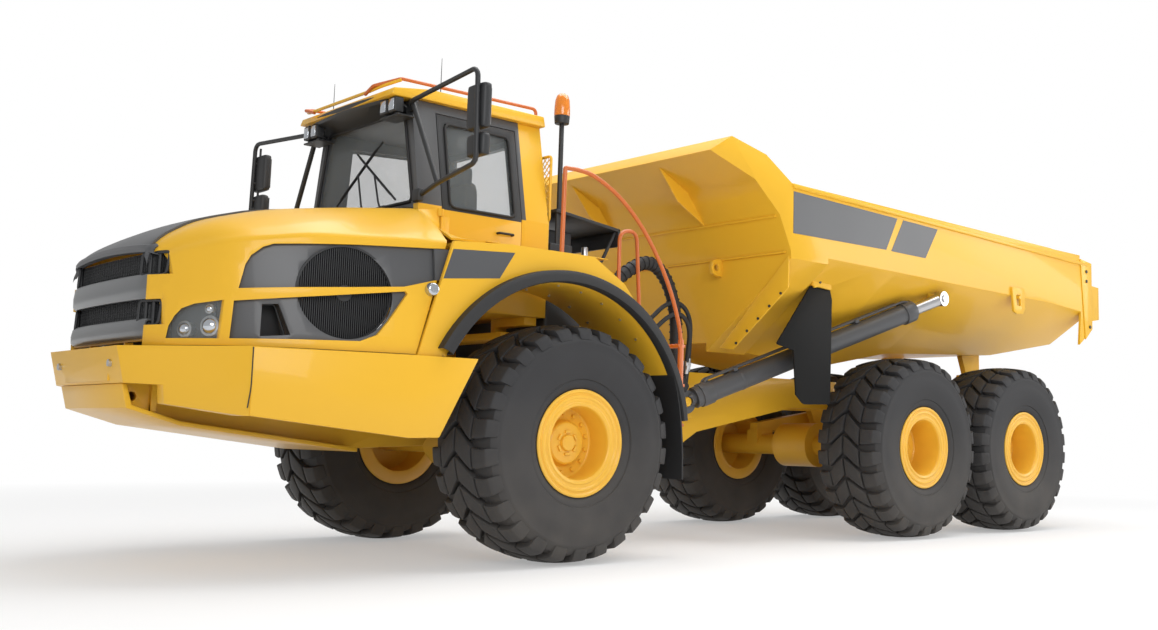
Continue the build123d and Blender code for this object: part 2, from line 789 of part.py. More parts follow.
# Ladder behind the front wheel, with its hand rails
LADDER_STEPS = 4
LADDER_RISE = 330
with BuildPart() as access_ladder:
    for rail_y in (1100, 1600):
        block((-1110, -1060), (rail_y - 15, rail_y + 15), (700, 1800))
    for step in range(LADDER_STEPS):
        step_z = 740 + LADDER_RISE * step
        block((-1130, -1045), (1085, 1615), (step_z, step_z + 30))
    pipe(
        (
            (-1085, 1600, 1780),
            (-960, 1600, 2130),
            (-600, 1600, 2720),
            (-180, 1600, 3050),
            (190, 1600, 3060),
            (200, 1600, DECK_Z + SEAT),
        ),
        17,
        90,
    )
save(access_ladder.part, "access_ladder")

with BuildPart() as exhaust_stack:
    bar((-420, -700, 2480), (-420, -700, 3330), 80)
    bar((-420, -700, 2480), (-420, -700, 2560), 110)
save(exhaust_stack.part, "exhaust_stack")

with BuildPart() as beacon_mast:
    bar((-370, 800, 2480), (-370, 800, 3650), 24)
    bar((-370, 800, 3650), (-370, 800, 3740), 60)
    bar((-370, 800, 3740), (-370, 800, 3920), 70)
save(beacon_mast.part, "beacon_mast")

with BuildPart() as rear_deck:
    block((-620, CAB_REAR_X - PANEL_GAP), (-850, 850), (RAIL_TOP, 2480))
save(rear_deck.part, "rear_deck")

# Hood: x, bottom y, waist y, waist z, shoulder y, shoulder z, top z
HOOD_SECTIONS = (
    (2950, 700, 700, 2090, 660, 2170, 2190),
    (2600, 1270, 1230, 2230, 950, 2370, 2420),
    (2100, 1480, 1410, 2310, 1030, 2490, 2570),
    (1600, 1590, 1500, 2340, 1060, 2570, 2650),
    (1150, 1650, 1560, 2360, 1080, 2640, 2700),
)
HOOD_LOW = SEAM_Z + PANEL_GAP


def hood_form(inset, mode):
    """The hood's outer form, or a smaller one inside it."""
    sections = []
    for x, bottom_y, waist_y, waist_z, shoulder_y, shoulder_z, top_z in HOOD_SECTIONS:
        if x == HOOD_SECTIONS[0][0]:
            x -= inset
        low = HOOD_LOW if inset == 0 else HOOD_LOW - 100
        half = (
            (bottom_y - inset, low),
            (waist_y - inset, waist_z - inset / 2),
            (shoulder_y - inset, shoulder_z - inset),
            (shoulder_y * 0.5, top_z - inset),
        )
        sections.append(face_on(cross_plane(x), mirrored(half)))
    loft(Sketch() + sections, ruled=True, mode=mode)


FRONT_WINDOW = ((-600, 1575), (600, 1575), (600, 2110), (-600, 2110))
UPPER_WINDOW = ((2580, 1900), (2480, 2120), (2360, 2200), (1390, 2290), (1220, 2190), (1690, 1930))
LOWER_WINDOW = ((2610, 1570), (2600, 1820), (2240, 1870), (1570, 1900), (1740, 1610))
LAMP_WINDOW = ((2870, 1565), (2855, 1770), (2690, 1800), (2680, 1570))
hood_rear_cut = (
    (HOOD_SEAM[0][0] + PANEL_GAP - 60, SEAM_Z - 200),
    (HOOD_SEAM[0][0] + PANEL_GAP, SEAM_Z),
    (HOOD_SEAM[1][0] + PANEL_GAP, 2350),
    (1150 + PANEL_GAP, 2560),
    (1150 + PANEL_GAP, 2900),
    (1000, 2900),
    (1000, SEAM_Z - 200),
)
with BuildPart() as hood_shell:
    hood_form(0, Mode.ADD)
    hood_form(PANEL, Mode.SUBTRACT)
    side_plate(hood_rear_cut, -1900, 1900, mode=Mode.SUBTRACT)
    cross_plate(FRONT_WINDOW, 2800, 3000, mode=Mode.SUBTRACT)
    for window in (UPPER_WINDOW, LOWER_WINDOW, LAMP_WINDOW):
        for _, side in SIDES:
            side_plate(window, side * 700, side * 1800, mode=Mode.SUBTRACT)
    pin_x, pin_z = HOOD_PIN
    for _, side in SIDES:
        block(
            (pin_x, 2990),
            (side * (HOOD_LUG_Y - HINGE_GAP - HOOD_LUG_THICK - 6), side * (HOOD_LUG_Y - 0.4)),
            (HOOD_LOW - 40, FRONT_WINDOW[0][1] + 5),
            mode=Mode.SUBTRACT,
        )
        side_plate(
            ((2940, 1530), (2940, 1563), (pin_x - 20, 1560), (pin_x - 25, 1525), (pin_x, 1515)),
            side * HOOD_LUG_Y,
            side * (HOOD_LUG_Y + HOOD_LUG_THICK),
        )
        bar(
            (pin_x, side * (HOOD_LUG_Y - 20), pin_z),
            (pin_x, side * (HOOD_LUG_Y + 60), pin_z),
            HOOD_PIN_RADIUS + RUNNING,
            mode=Mode.SUBTRACT,
        )
save(hood_shell.part, "hood_shell")

with BuildPart() as front_grille:
    cross_plate(((-615, 1568), (615, 1568), (615, 2125), (-615, 2125)), 2895, 2920 - SEAT)
    for bar_low, bar_high, bar_front in ((1842, 1982, 2945), (1580, 1700, 2950)):
        block((2910, bar_front), (-595, 595), (bar_low, bar_high))
save(front_grille.part, "front_grille")

with BuildPart() as side_grilles:
    hood_form(PANEL + 1, Mode.ADD)
    hood_form(PANEL + 21, Mode.SUBTRACT)
    for _, side in SIDES:
        side_plate(
            ((2645, 1540), (2640, 2170), (2300, 2240), (1350, 2330), (1200, 2210), (1700, 1560)),
            -1800,
            1800,
            mode=Mode.INTERSECT,
        )
    block((1100, 2700), (-1150, 1150), (1400, 2700), mode=Mode.SUBTRACT)
save(side_grilles.part, "side_grilles")

with BuildPart() as headlamps:
    hood_form(PANEL + SEAT, Mode.ADD)
    hood_form(PANEL + 50, Mode.SUBTRACT)
    side_plate(
        ((2890, 1550), (2870, 1790), (2670, 1820), (2660, 1560)), -1800, 1800, mode=Mode.INTERSECT
    )
    block((2600, 3000), (-700, 700), (1500, 1900), mode=Mode.SUBTRACT)
save(headlamps.part, "headlamps")

with BuildPart() as hood_centre:
    for x_back, x_front in zip(HOOD_SECTIONS[1:], HOOD_SECTIONS[:-1]):
        side_plate(
            (
                (x_back[0], x_back[6] + SEAT),
                (x_back[0], x_back[6] + 20),
                (x_front[0], x_front[6] + 20),
                (x_front[0], x_front[6] + SEAT),
            ),
            -330,
            330,
        )
    block((1000, 1150 + PANEL_GAP), (-400, 400), (2500, 2900), mode=Mode.SUBTRACT)
save(hood_centre.part, "hood_centre")

# Hitch: turns on the frame's pin, and carries the roll tube
hitch_low = PIVOT_LOW + PIVOT_LUG_THICK + HITCH_GAP
hitch_high = RAIL_TOP - PIVOT_LUG_THICK - HITCH_GAP
ROLL_TUBE_END = -2120
with BuildPart() as hitch:
    bar((PIVOT_X, 0, hitch_low), (PIVOT_X, 0, hitch_high), PIVOT_LUG_RADIUS - 15)
    block((-1560, PIVOT_X), (-150, 150), (hitch_low, hitch_high))
    bar((-1560, 0, ROLL_Z), (REAR_FRONT_X + HITCH_GAP, 0, ROLL_Z), ROLL_RADIUS + 60)
    bar((-1560, 0, ROLL_Z), (ROLL_TUBE_END, 0, ROLL_Z), ROLL_RADIUS - 30)
    bar(
        (PIVOT_X, 0, hitch_low - 50),
        (PIVOT_X, 0, hitch_high + 50),
        PIVOT_PIN_RADIUS + RUNNING,
        mode=Mode.SUBTRACT,
    )
save(hitch.part, "hitch")

# Rear frame
REAR_RAIL_SHAPE = (
    (-2030, 860),
    (-2030, REAR_RAIL_TOP),
    (-6800, REAR_RAIL_TOP),
    (-7180, REAR_RAIL_TOP),
    (-7250, 1590),
    (-7250, 1400),
    (-7100, 1330),
    (-3720, 1310),
    (-2340, 1040),
)
BOGIE_PIN_Z = 1120
BOGIE_PIN_RADIUS = 90
BEAM_Y = 650
BEAM_THICK = 110
rear_outer = REAR_RAIL_Y + REAR_RAIL_THICK
foot_x, foot_y, foot_z = HOIST_FOOT
with BuildPart() as rear_frame:
    for _, side in SIDES:
        side_plate(REAR_RAIL_SHAPE, side * REAR_RAIL_Y, side * rear_outer)
        side_plate(
            (
                (BOGIE_X - 350, 1400),
                (BOGIE_X + 350, 1400),
                (BOGIE_X + 130, 980),
                (BOGIE_X - 130, 980),
            ),
            side * REAR_RAIL_Y,
            side * rear_outer,
        )
        bar(
            (BOGIE_X, side * REAR_RAIL_Y, BOGIE_PIN_Z),
            (BOGIE_X, side * (BEAM_Y + BEAM_THICK / 2 + 20), BOGIE_PIN_Z),
            BOGIE_PIN_RADIUS,
        )
        side_plate(
            ((TIP_X - 220, 1500), (TIP_X - 110, TIP_Z + 60), (TIP_X + 110, TIP_Z + 60), (TIP_X + 260, 1500)),
            side * REAR_RAIL_Y,
            side * rear_outer,
        )
        bar(
            (TIP_X, side * REAR_RAIL_Y, TIP_Z),
            (TIP_X, side * (rear_outer + 110), TIP_Z),
            TIP_PIN_RADIUS,
        )
        bar((foot_x, side * REAR_RAIL_Y, foot_z), (foot_x, side * (foot_y + 60), foot_z), HOIST_PIN_RADIUS)
        side_plate(
            (
                (foot_x - 200, foot_z - 150),
                (foot_x - 200, foot_z + 150),
                (foot_x + 20, foot_z + 90),
                (foot_x + 70, foot_z + 20),
                (foot_x + 70, foot_z - 60),
                (foot_x, foot_z - 110),
            ),
            side * REAR_RAIL_Y,
            side * (foot_y - HOIST_EYE_WIDTH / 2 - 50),
        )
        bar(
            (foot_x, side * REAR_RAIL_Y, foot_z),
            (foot_x, side * (foot_y - HOIST_EYE_WIDTH / 2 - HOIST_EYE_GAP), foot_z),
            HOIST_PIN_RADIUS + 25,
        )
        with Locations(at(foot_x, side * foot_y, foot_z)):
            Sphere(HOIST_BALL_RADIUS)
    for x_back, x_front in ((-2110, -2030), (-3000, -2920), (-4300, -4220), (-6100, -6020), (-7100, -7000)):
        block((x_back, x_front), (-rear_outer, rear_outer), (1340, REAR_RAIL_TOP - 20))
    block((-2110, -2030), (-rear_outer, rear_outer), (870, REAR_RAIL_TOP - 20))
    bar((-2110, 0, ROLL_Z), (REAR_FRONT_X, 0, ROLL_Z), ROLL_RADIUS + 50)
    bar(
        (ROLL_TUBE_END - 20, 0, ROLL_Z),
        (REAR_FRONT_X + 20, 0, ROLL_Z),
        ROLL_RADIUS - 30 + RUNNING,
        mode=Mode.SUBTRACT,
    )
save(rear_frame.part, "rear_frame")

with BuildPart() as bogie_axles:
    for _, axle_x, dish in AXLES[1:]:
        axle_housing(axle_x, dish, 480)
        for _, side in SIDES:
            block(
                (axle_x - 130, axle_x + 130),
                (side * (BEAM_Y - 80), side * (BEAM_Y + 80)),
                (AXLE_Z, AXLE_Z + 160),
            )
save(bogie_axles.part, "bogie_axles")

with BuildPart() as bogie_beams:
    for _, side in SIDES:
        side_plate(
            (
                (AXLE_3_X - 110, AXLE_Z + 160),
                (AXLE_3_X - 110, AXLE_Z + 240),
                (BOGIE_X, 1330),
                (AXLE_2_X + 110, AXLE_Z + 240),
                (AXLE_2_X + 110, AXLE_Z + 160),
                (AXLE_2_X - 140, AXLE_Z + 160),
                (BOGIE_X, 960),
                (AXLE_3_X + 140, AXLE_Z + 160),
            ),
            side * (BEAM_Y - BEAM_THICK / 2),
            side * (BEAM_Y + BEAM_THICK / 2),
        )
        bar(
            (BOGIE_X, side * 500, BOGIE_PIN_Z),
            (BOGIE_X, side * 800, BOGIE_PIN_Z),
            BOGIE_PIN_RADIUS + SEAT,
            mode=Mode.SUBTRACT,
        )
save(bogie_beams.part, "bogie_beams")

with BuildPart() as tail_lamps:
    for _, side in SIDES:
        block((-7330, -7250), (side * REAR_RAIL_Y, side * (rear_outer + 120)), (1440, 1570))
save(tail_lamps.part, "tail_lamps")

# Dump body: x, rail z, knee z, floor half width, floor z
BODY_SECTIONS = (
    (BODY_FRONT_X, BODY_RAIL, 2700, 620, 1900),
    (-3900, BODY_RAIL - 5, BODY_KNEE, 620, 1730),
    (-5100, BODY_RAIL - 15, 2660, 700, 1960),
    (-7000, BODY_RAIL - 40, 2640, 850, 2050),
    (TAIL_X + 260, 3210, 2590, 1150, 2230),
)
BODY_TAIL_X = BODY_SECTIONS[-1][0]


def body_form(inset, mode):
    """The body's hull, or the load space inside it."""
    sections = []
    last = len(BODY_SECTIONS) - 1
    for number, (x, rail_z, knee_z, floor_y, floor_z) in enumerate(BODY_SECTIONS):
        if inset and number == 0:
            x -= inset
        if inset and number == last:
            x -= 50
        top = rail_z + (200 if inset else 0)
        half = (
            (floor_y - inset * 0.4, floor_z + inset),
            (BODY_Y - inset, knee_z + inset * 0.4),
            (BODY_Y - inset, top),
        )
        sections.append(face_on(cross_plane(x), mirrored(half)))
    loft(Sketch() + sections, ruled=True, mode=mode)


# Spill guard over the front: its profile in x and z, outside first and then inside
GUARD_PROFILE = (
    (BODY_FRONT_X, 2700),
    (-2250, 3030),
    (-2000, 3330),
    (-1560, 3545),
    (-1770, 3700),
    (-1795, 3675),
    (-1626, 3550),
    (-2025, 3355),
    (-2275, 3055),
    (BODY_FRONT_X - 25, 2725),
)
GUARD_TIP = (-1560, 1420)
# Wing beside the guard: place along it from the body's corner, height
WING_SHAPE = (
    (0, 2700),
    (126, 3030),
    (390, 3330),
    (853, 3545),
    (632, 3700),
    (274, 3570),
    (126, 3440),
    (0, BODY_RAIL),
)
COLLAR_X = (-2900, BODY_FRONT_X)
COLLAR_SHAPE = ((600, 1815), (BODY_Y, 2635), (BODY_Y, 2720), (600, 1905))
BODY_EAR_Y = rear_outer + 20
with BuildPart() as spill_guard:
    side_plate(GUARD_PROFILE, -BODY_Y, BODY_Y)
    for _, side in SIDES:
        level_plate(
            (
                (BODY_FRONT_X, side * BODY_Y),
                (GUARD_TIP[0], side * GUARD_TIP[1]),
                (GUARD_TIP[0] + 200, side * (GUARD_TIP[1] - 66)),
                (GUARD_TIP[0] + 200, side * 1900),
                (BODY_FRONT_X, side * 1900),
            ),
            2600,
            3900,
            mode=Mode.SUBTRACT,
        )
with BuildPart() as dump_body:
    body_form(0, Mode.ADD)
    body_form(BODY_PLATE, Mode.SUBTRACT)
    add(spill_guard.part)
    for _, side in SIDES:
        wing_plane = Plane(
            origin=at(BODY_FRONT_X, side * BODY_Y, 0),
            x_dir=(GUARD_TIP[0] - BODY_FRONT_X, side * (GUARD_TIP[1] - BODY_Y), 0),
            z_dir=(side * (GUARD_TIP[1] - BODY_Y), BODY_FRONT_X - GUARD_TIP[0], 0),
        )
        extrude(face_on(wing_plane, WING_SHAPE), amount=side * BODY_PLATE)
        cross_plate([(side * y, z) for y, z in COLLAR_SHAPE], COLLAR_X[0], COLLAR_X[1])
    for _, side in SIDES:
        rail_y = (side * (BODY_Y - 90), side * BODY_Y)
        block((BODY_TAIL_X + 200, BODY_FRONT_X), rail_y, (BODY_RAIL - 110, BODY_RAIL - 45))
        side_plate(
            (
                (BODY_TAIL_X + 120, 3200),
                (BODY_TAIL_X - 80, 3200),
                (BODY_TAIL_X - 80, 2940),
                (TAIL_X, 2930),
                (TAIL_X, 2530),
                (BODY_TAIL_X - 80, 2500),
                (BODY_TAIL_X - 80, 2390),
                (BODY_TAIL_X + 230, 2190),
            ),
            side * (BODY_Y - BODY_PLATE),
            side * BODY_Y,
        )
        block(
            (BODY_TAIL_X - 80, BODY_TAIL_X + 120),
            (side * (BODY_Y - 70), side * BODY_Y),
            (2400, 3200),
        )
        side_plate(
            (
                (TIP_X - EAR_RADIUS, TIP_Z),
                (TIP_X - EAR_RADIUS, 2150),
                (TIP_X + 300, 2150),
                (TIP_X + EAR_RADIUS, TIP_Z),
            ),
            side * BODY_EAR_Y,
            side * (BODY_EAR_Y + 70),
        )
        bar((TIP_X, side * BODY_EAR_Y, TIP_Z), (TIP_X, side * (BODY_EAR_Y + 70), TIP_Z), EAR_RADIUS)
        bar(
            (TIP_X, side * (BODY_EAR_Y - 30), TIP_Z),
            (TIP_X, side * (BODY_EAR_Y + 120), TIP_Z),
            TIP_PIN_RADIUS + RUNNING,
            mode=Mode.SUBTRACT,
        )
        eye_x, eye_y, eye_z = HOIST_EYE
        bracket_y = eye_y - HOIST_EYE_WIDTH / 2 - HOIST_BRACKET_GAP
        side_plate(
            (
                (eye_x - 130, eye_z + 130),
                (eye_x - 60, eye_z - 50),
                (eye_x + 50, eye_z - 50),
                (eye_x + 130, eye_z + 130),
            ),
            side * bracket_y,
            side * (bracket_y - HOIST_BRACKET),
        )
        side_plate(
            ((-2960, 2460 + SEAT), (-3240, 2440 + SEAT), (-3240, 2560), (-2960, 2560)),
            side * FLAP_Y,
            side * (FLAP_Y + FLAP_THICK),
        )
    body_form(BODY_PLATE, Mode.SUBTRACT)
    block((BODY_FRONT_X - 60, BODY_FRONT_X + 1), (-1380, 1380), (2790, 3500), mode=Mode.SUBTRACT)
save(dump_body.part, "dump_body")

with BuildPart() as body_mudflaps:
    for _, side in SIDES:
        side_plate(
            (
                (-2960, 2460),
                (-3240, 2440),
                (-3290, 2350),
                (-3276, 1323),
                (-2876, 1310),
                (-2759, 1400),
                (-2724, 1823),
                (-2470, 1853),
                (-2930, 2400),
            ),
            side * FLAP_Y,
            side * (FLAP_Y + FLAP_THICK),
        )
save(body_mudflaps.part, "body_mudflaps")

# Hoists: barrel on the frame's pin, rod to the body's pin
for hand, side in SIDES:
    foot = (HOIST_FOOT[0], side * HOIST_FOOT[1], HOIST_FOOT[2])
    eye = (HOIST_EYE[0], side * HOIST_EYE[1], HOIST_EYE[2])
    run = [b - a for a, b in zip(foot, eye)]
    reach = hypot(*run)
    along = [part / reach for part in run]

    def on_hoist(distance):
        """A point on the hoist's axis."""
        return tuple(a + distance * u for a, u in zip(foot, along))

    with BuildPart() as barrel:
        bar(on_hoist(110), on_hoist(HOIST_BARREL), HOIST_RADIUS)
        bar(
            (foot[0], foot[1] - HOIST_EYE_WIDTH / 2, foot[2]),
            (foot[0], foot[1] + HOIST_EYE_WIDTH / 2, foot[2]),
            HOIST_RADIUS + 10,
        )
        bar(on_hoist(40), on_hoist(150), HOIST_RADIUS * 0.6)
        bar(
            (foot[0], foot[1] - 200, foot[2]),
            (foot[0], foot[1] + 200, foot[2]),
            HOIST_PIN_RADIUS + HOIST_PIN_PLAY,
            mode=Mode.SUBTRACT,
        )
        with Locations(at(*foot)):
            Sphere(HOIST_BALL_RADIUS + RUNNING, mode=Mode.SUBTRACT)
        bar(
            on_hoist(HOIST_ROD_START - 5),
            on_hoist(HOIST_BARREL + 10),
            HOIST_ROD_RADIUS + RUNNING,
            mode=Mode.SUBTRACT,
        )
    save(barrel.part, f"hoist_barrel_{hand}")
    with BuildPart() as rod:
        bar(on_hoist(HOIST_ROD_START), on_hoist(reach - 60), HOIST_ROD_RADIUS)
        bar(
            (eye[0], eye[1] - HOIST_EYE_WIDTH / 2, eye[2]),
            (eye[0], eye[1] + HOIST_EYE_WIDTH / 2, eye[2]),
            HOIST_EYE_RADIUS,
        )
        bar(
            (eye[0], eye[1] - side * (HOIST_EYE_WIDTH / 2 + 15), eye[2]),
            (eye[0], eye[1] + side * (HOIST_EYE_WIDTH / 2 + 15), eye[2]),
            HOIST_PIN_RADIUS,
        )
    save(rod.part, f"hoist_rod_{hand}")
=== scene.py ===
import json
import math

import bpy
from mathutils import Matrix, Vector


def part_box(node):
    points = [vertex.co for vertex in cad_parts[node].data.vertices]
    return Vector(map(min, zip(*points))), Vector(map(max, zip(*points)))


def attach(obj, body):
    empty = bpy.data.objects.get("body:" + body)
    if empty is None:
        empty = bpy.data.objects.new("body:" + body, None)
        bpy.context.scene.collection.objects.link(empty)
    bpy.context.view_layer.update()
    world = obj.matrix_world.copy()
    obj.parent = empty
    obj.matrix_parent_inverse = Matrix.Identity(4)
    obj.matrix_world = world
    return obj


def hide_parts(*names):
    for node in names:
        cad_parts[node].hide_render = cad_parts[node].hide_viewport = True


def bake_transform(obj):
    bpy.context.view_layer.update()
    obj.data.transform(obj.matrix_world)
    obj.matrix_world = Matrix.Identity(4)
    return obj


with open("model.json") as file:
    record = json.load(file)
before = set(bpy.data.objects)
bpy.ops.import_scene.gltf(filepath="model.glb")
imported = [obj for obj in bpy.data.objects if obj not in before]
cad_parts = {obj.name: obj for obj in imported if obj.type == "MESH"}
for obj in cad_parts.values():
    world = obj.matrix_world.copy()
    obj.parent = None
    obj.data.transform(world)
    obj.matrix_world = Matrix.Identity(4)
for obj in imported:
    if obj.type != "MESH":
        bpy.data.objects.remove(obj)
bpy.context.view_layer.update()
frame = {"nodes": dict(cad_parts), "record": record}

bl_info = {
    "name": "Articulated Dump Truck Dressing",
    "version": (1, 0, 0),
    "blender": (4, 5, 0),
    "location": "3D View > Sidebar > Hauler",
    "description": "Tyres, panels, glass, lamps, pipes and finishes for the packed dump truck",
    "category": "Object",
}

FRONT_AXLE_X = sum(corner.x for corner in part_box("tyre_front_left")) / 2


# Settings a user would change

class HaulerStageSettings(bpy.types.PropertyGroup):
    """Camera, floor and lamps."""
    lens: bpy.props.FloatProperty(
        name="Lens", description="Camera focal length in millimetres", default=38.1, min=10)
    camera_place: bpy.props.FloatVectorProperty(
        name="Camera place", description="Where the camera stands", default=(8.509, 9.073, 0.99),
        subtype="TRANSLATION", unit="LENGTH")
    camera_aim: bpy.props.FloatVectorProperty(
        name="Camera aim", description="Direction the camera looks in",
        default=(-0.699, -0.7056, 0.1159), subtype="DIRECTION")
    camera_roll: bpy.props.FloatProperty(
        name="Camera roll", description="Turn about the camera's own axis", default=math.radians(1.078),
        subtype="ANGLE")
    shift_x: bpy.props.FloatProperty(
        name="Shift X", description="Sideways shift of the picture", default=-0.11356)
    shift_y: bpy.props.FloatProperty(
        name="Shift Y", description="Upward shift of the picture", default=-0.01805)
    key_power: bpy.props.FloatProperty(
        name="Key power", description="Watts of the large overhead lamp", default=1100, min=0)
    fill_power: bpy.props.FloatProperty(
        name="Fill power", description="Watts of the lamp beside the camera", default=700, min=0)
    sky_strength: bpy.props.FloatProperty(
        name="Sky strength", description="Light from all round", default=0.55, min=0)


class HaulerPaintSettings(bpy.types.PropertyGroup):
    """Colours of the finishes."""
    yellow: bpy.props.FloatVectorProperty(
        name="Yellow paint", description="Body panels", default=(0.80, 0.45, 0.03), subtype="COLOR",
        min=0, max=1)
    rim_yellow: bpy.props.FloatVectorProperty(
        name="Rim paint", description="Wheel rims", default=(0.83, 0.46, 0.035), subtype="COLOR",
        min=0, max=1)
    grey: bpy.props.FloatVectorProperty(
        name="Grey paint", description="Satin grey panels", default=(0.075, 0.077, 0.082),
        subtype="COLOR", min=0, max=1)
    silver: bpy.props.FloatVectorProperty(
        name="Silver grey", description="Bars across the front grille", default=(0.16, 0.165, 0.17),
        subtype="COLOR", min=0, max=1)
    plastic: bpy.props.FloatVectorProperty(
        name="Dark plastic", description="Trim, mirrors and dash", default=(0.022, 0.023, 0.025),
        subtype="COLOR", min=0, max=1)
    rubber: bpy.props.FloatVectorProperty(
        name="Black rubber", description="Flaps, seals and hoses", default=(0.017, 0.017, 0.018),
        subtype="COLOR", min=0, max=1)
    tyre: bpy.props.FloatVectorProperty(
        name="Tyre rubber", description="Tyres", default=(0.036, 0.036, 0.038), subtype="COLOR",
        min=0, max=1)
    orange: bpy.props.FloatVectorProperty(
        name="Orange paint", description="Hand rails and locks", default=(0.56, 0.13, 0.02),
        subtype="COLOR", min=0, max=1)
    steel: bpy.props.FloatVectorProperty(
        name="Bright steel", description="Pins, fittings and rods", default=(0.55, 0.55, 0.56),
        subtype="COLOR", min=0, max=1)


def stage_values():
    return bpy.context.scene.hauler_stage


def paint_values():
    return bpy.context.scene.hauler_paint


# Finishes

FINISHES = {}
GRIME = (0.19, 0.165, 0.135, 1)
# Height above the floor up to which grime shows
GRIME_TOP = 1.3


def surface(name, colour, roughness, metallic=0.0, coat=0.0, mottle=0.05, mottle_scale=1.2, grain=0.05,
            grain_scale=220.0, spread=0.06, grime=0.0, shine=0.5):
    """A finish with uneven colour and gloss, a fine grain and a little grime low down."""
    if name in FINISHES:
        return FINISHES[name]
    material = bpy.data.materials.new(name)
    material.use_nodes = True
    nodes = material.node_tree.nodes
    links = material.node_tree.links
    shader = nodes["Principled BSDF"]
    shader.inputs["Metallic"].default_value = metallic
    shader.inputs["Specular IOR Level"].default_value = shine
    shader.inputs["Coat Weight"].default_value = coat
    shader.inputs["Coat Roughness"].default_value = 0.06
    place = nodes.new("ShaderNodeTexCoord")
    clouds = nodes.new("ShaderNodeTexNoise")
    clouds.inputs["Scale"].default_value = mottle_scale
    clouds.inputs["Detail"].default_value = 5.0
    links.new(place.outputs["Object"], clouds.inputs["Vector"])
    tint = nodes.new("ShaderNodeMix")
    tint.data_type = "RGBA"
    tint.inputs["A"].default_value = [channel * (1 - mottle) for channel in colour] + [1]
    tint.inputs["B"].default_value = [min(channel * (1 + mottle), 1) for channel in colour] + [1]
    links.new(clouds.outputs["Fac"], tint.inputs["Factor"])
    dirt = nodes.new("ShaderNodeMix")
    dirt.data_type = "RGBA"
    dirt.inputs["B"].default_value = GRIME
    height = nodes.new("ShaderNodeSeparateXYZ")
    links.new(place.outputs["Object"], height.inputs["Vector"])
    low = nodes.new("ShaderNodeMapRange")
    low.inputs["From Min"].default_value = GRIME_TOP
    low.inputs["From Max"].default_value = 0.0
    low.inputs["To Max"].default_value = grime
    links.new(height.outputs["Z"], low.inputs["Value"])
    patch = nodes.new("ShaderNodeMath")
    patch.operation = "MULTIPLY"
    links.new(low.outputs["Result"], patch.inputs[0])
    links.new(clouds.outputs["Fac"], patch.inputs[1])
    links.new(patch.outputs["Value"], dirt.inputs["Factor"])
    links.new(tint.outputs["Result"], dirt.inputs["A"])
    links.new(dirt.outputs["Result"], shader.inputs["Base Color"])
    gloss = nodes.new("ShaderNodeMapRange")
    gloss.inputs["To Min"].default_value = max(roughness - spread, 0.02)
    gloss.inputs["To Max"].default_value = min(roughness + spread, 1.0)
    links.new(clouds.outputs["Fac"], gloss.inputs["Value"])
    links.new(gloss.outputs["Result"], shader.inputs["Roughness"])
    fine = nodes.new("ShaderNodeTexNoise")
    fine.inputs["Scale"].default_value = grain_scale
    fine.inputs["Detail"].default_value = 3.0
    links.new(place.outputs["Object"], fine.inputs["Vector"])
    bump = nodes.new("ShaderNodeBump")
    bump.inputs["Strength"].default_value = grain
    bump.inputs["Distance"].default_value = 0.002
    links.new(fine.outputs["Fac"], bump.inputs["Height"])
    links.new(bump.outputs["Normal"], shader.inputs["Normal"])
    FINISHES[name] = material
    return material


def clear_surface(name, colour, alpha, roughness=0.04):
    """Glass that lets the light through and still reflects."""
    material = surface(name, colour, roughness, mottle=0.03, grain=0.0, spread=0.02)
    material.node_tree.nodes["Principled BSDF"].inputs["Alpha"].default_value = alpha
    material.surface_render_method = "BLENDED"
    return material


def finish_of(slot):
    """The finish for one of the record's material slots, or one of the extra finishes."""
    paint = paint_values()
    makers = {
        "yellow_paint": lambda: surface("yellow_paint", paint.yellow, 0.36, coat=0.16, mottle=0.035,
                                        grain=0.03, grain_scale=90, grime=0.25, shine=0.24),
        "rim_paint": lambda: surface("rim_paint", paint.rim_yellow, 0.38, coat=0.2, mottle=0.04,
                                     grain=0.05, grain_scale=120, grime=0.2),
        "grey_paint": lambda: surface("grey_paint", paint.grey, 0.42, coat=0.1, grain=0.05,
                                      grain_scale=160),
        "silver_paint": lambda: surface("silver_paint", paint.silver, 0.33, metallic=0.4, coat=0.2),
        "dark_plastic": lambda: surface("dark_plastic", paint.plastic, 0.5, mottle=0.12, grain=0.25,
                                        grain_scale=420),
        "flap_rubber": lambda: surface("flap_rubber", (0.012, 0.012, 0.012), 0.55, mottle=0.15, grain=0.15,
                                       grain_scale=200, grime=0.2, shine=0.12),
        "black_rubber": lambda: surface("black_rubber", paint.rubber, 0.62, mottle=0.15, grain=0.2,
                                        grain_scale=300),
        "tyre_rubber": lambda: surface("tyre_rubber", paint.tyre, 0.6, mottle=0.22, mottle_scale=3.0,
                                       grain=0.35, grain_scale=140, spread=0.1, grime=0.45, shine=0.25),
        "orange_paint": lambda: surface("orange_paint", paint.orange, 0.4, coat=0.2),
        "steel": lambda: surface("steel", paint.steel, 0.3, metallic=1.0, grain=0.1, spread=0.1),
        "window_glass": lambda: clear_surface("window_glass", (0.30, 0.33, 0.34), 0.2),
        "lamp_glass": lambda: surface("lamp_glass", (0.55, 0.58, 0.62), 0.12, metallic=0.9, coat=0.6,
                                      grain=0.4, grain_scale=60),
        "beacon_amber": lambda: surface("beacon_amber", (0.75, 0.22, 0.01), 0.15, coat=0.6, grain=0.3,
                                        grain_scale=80),
    }
    if slot in FINISHES:
        return FINISHES[slot]
    return makers[slot]()


# Modelling helpers

def only(piece):
    """Selects one piece and makes it active."""
    bpy.ops.object.select_all(action="DESELECT")
    piece.select_set(True)
    bpy.context.view_layer.objects.active = piece


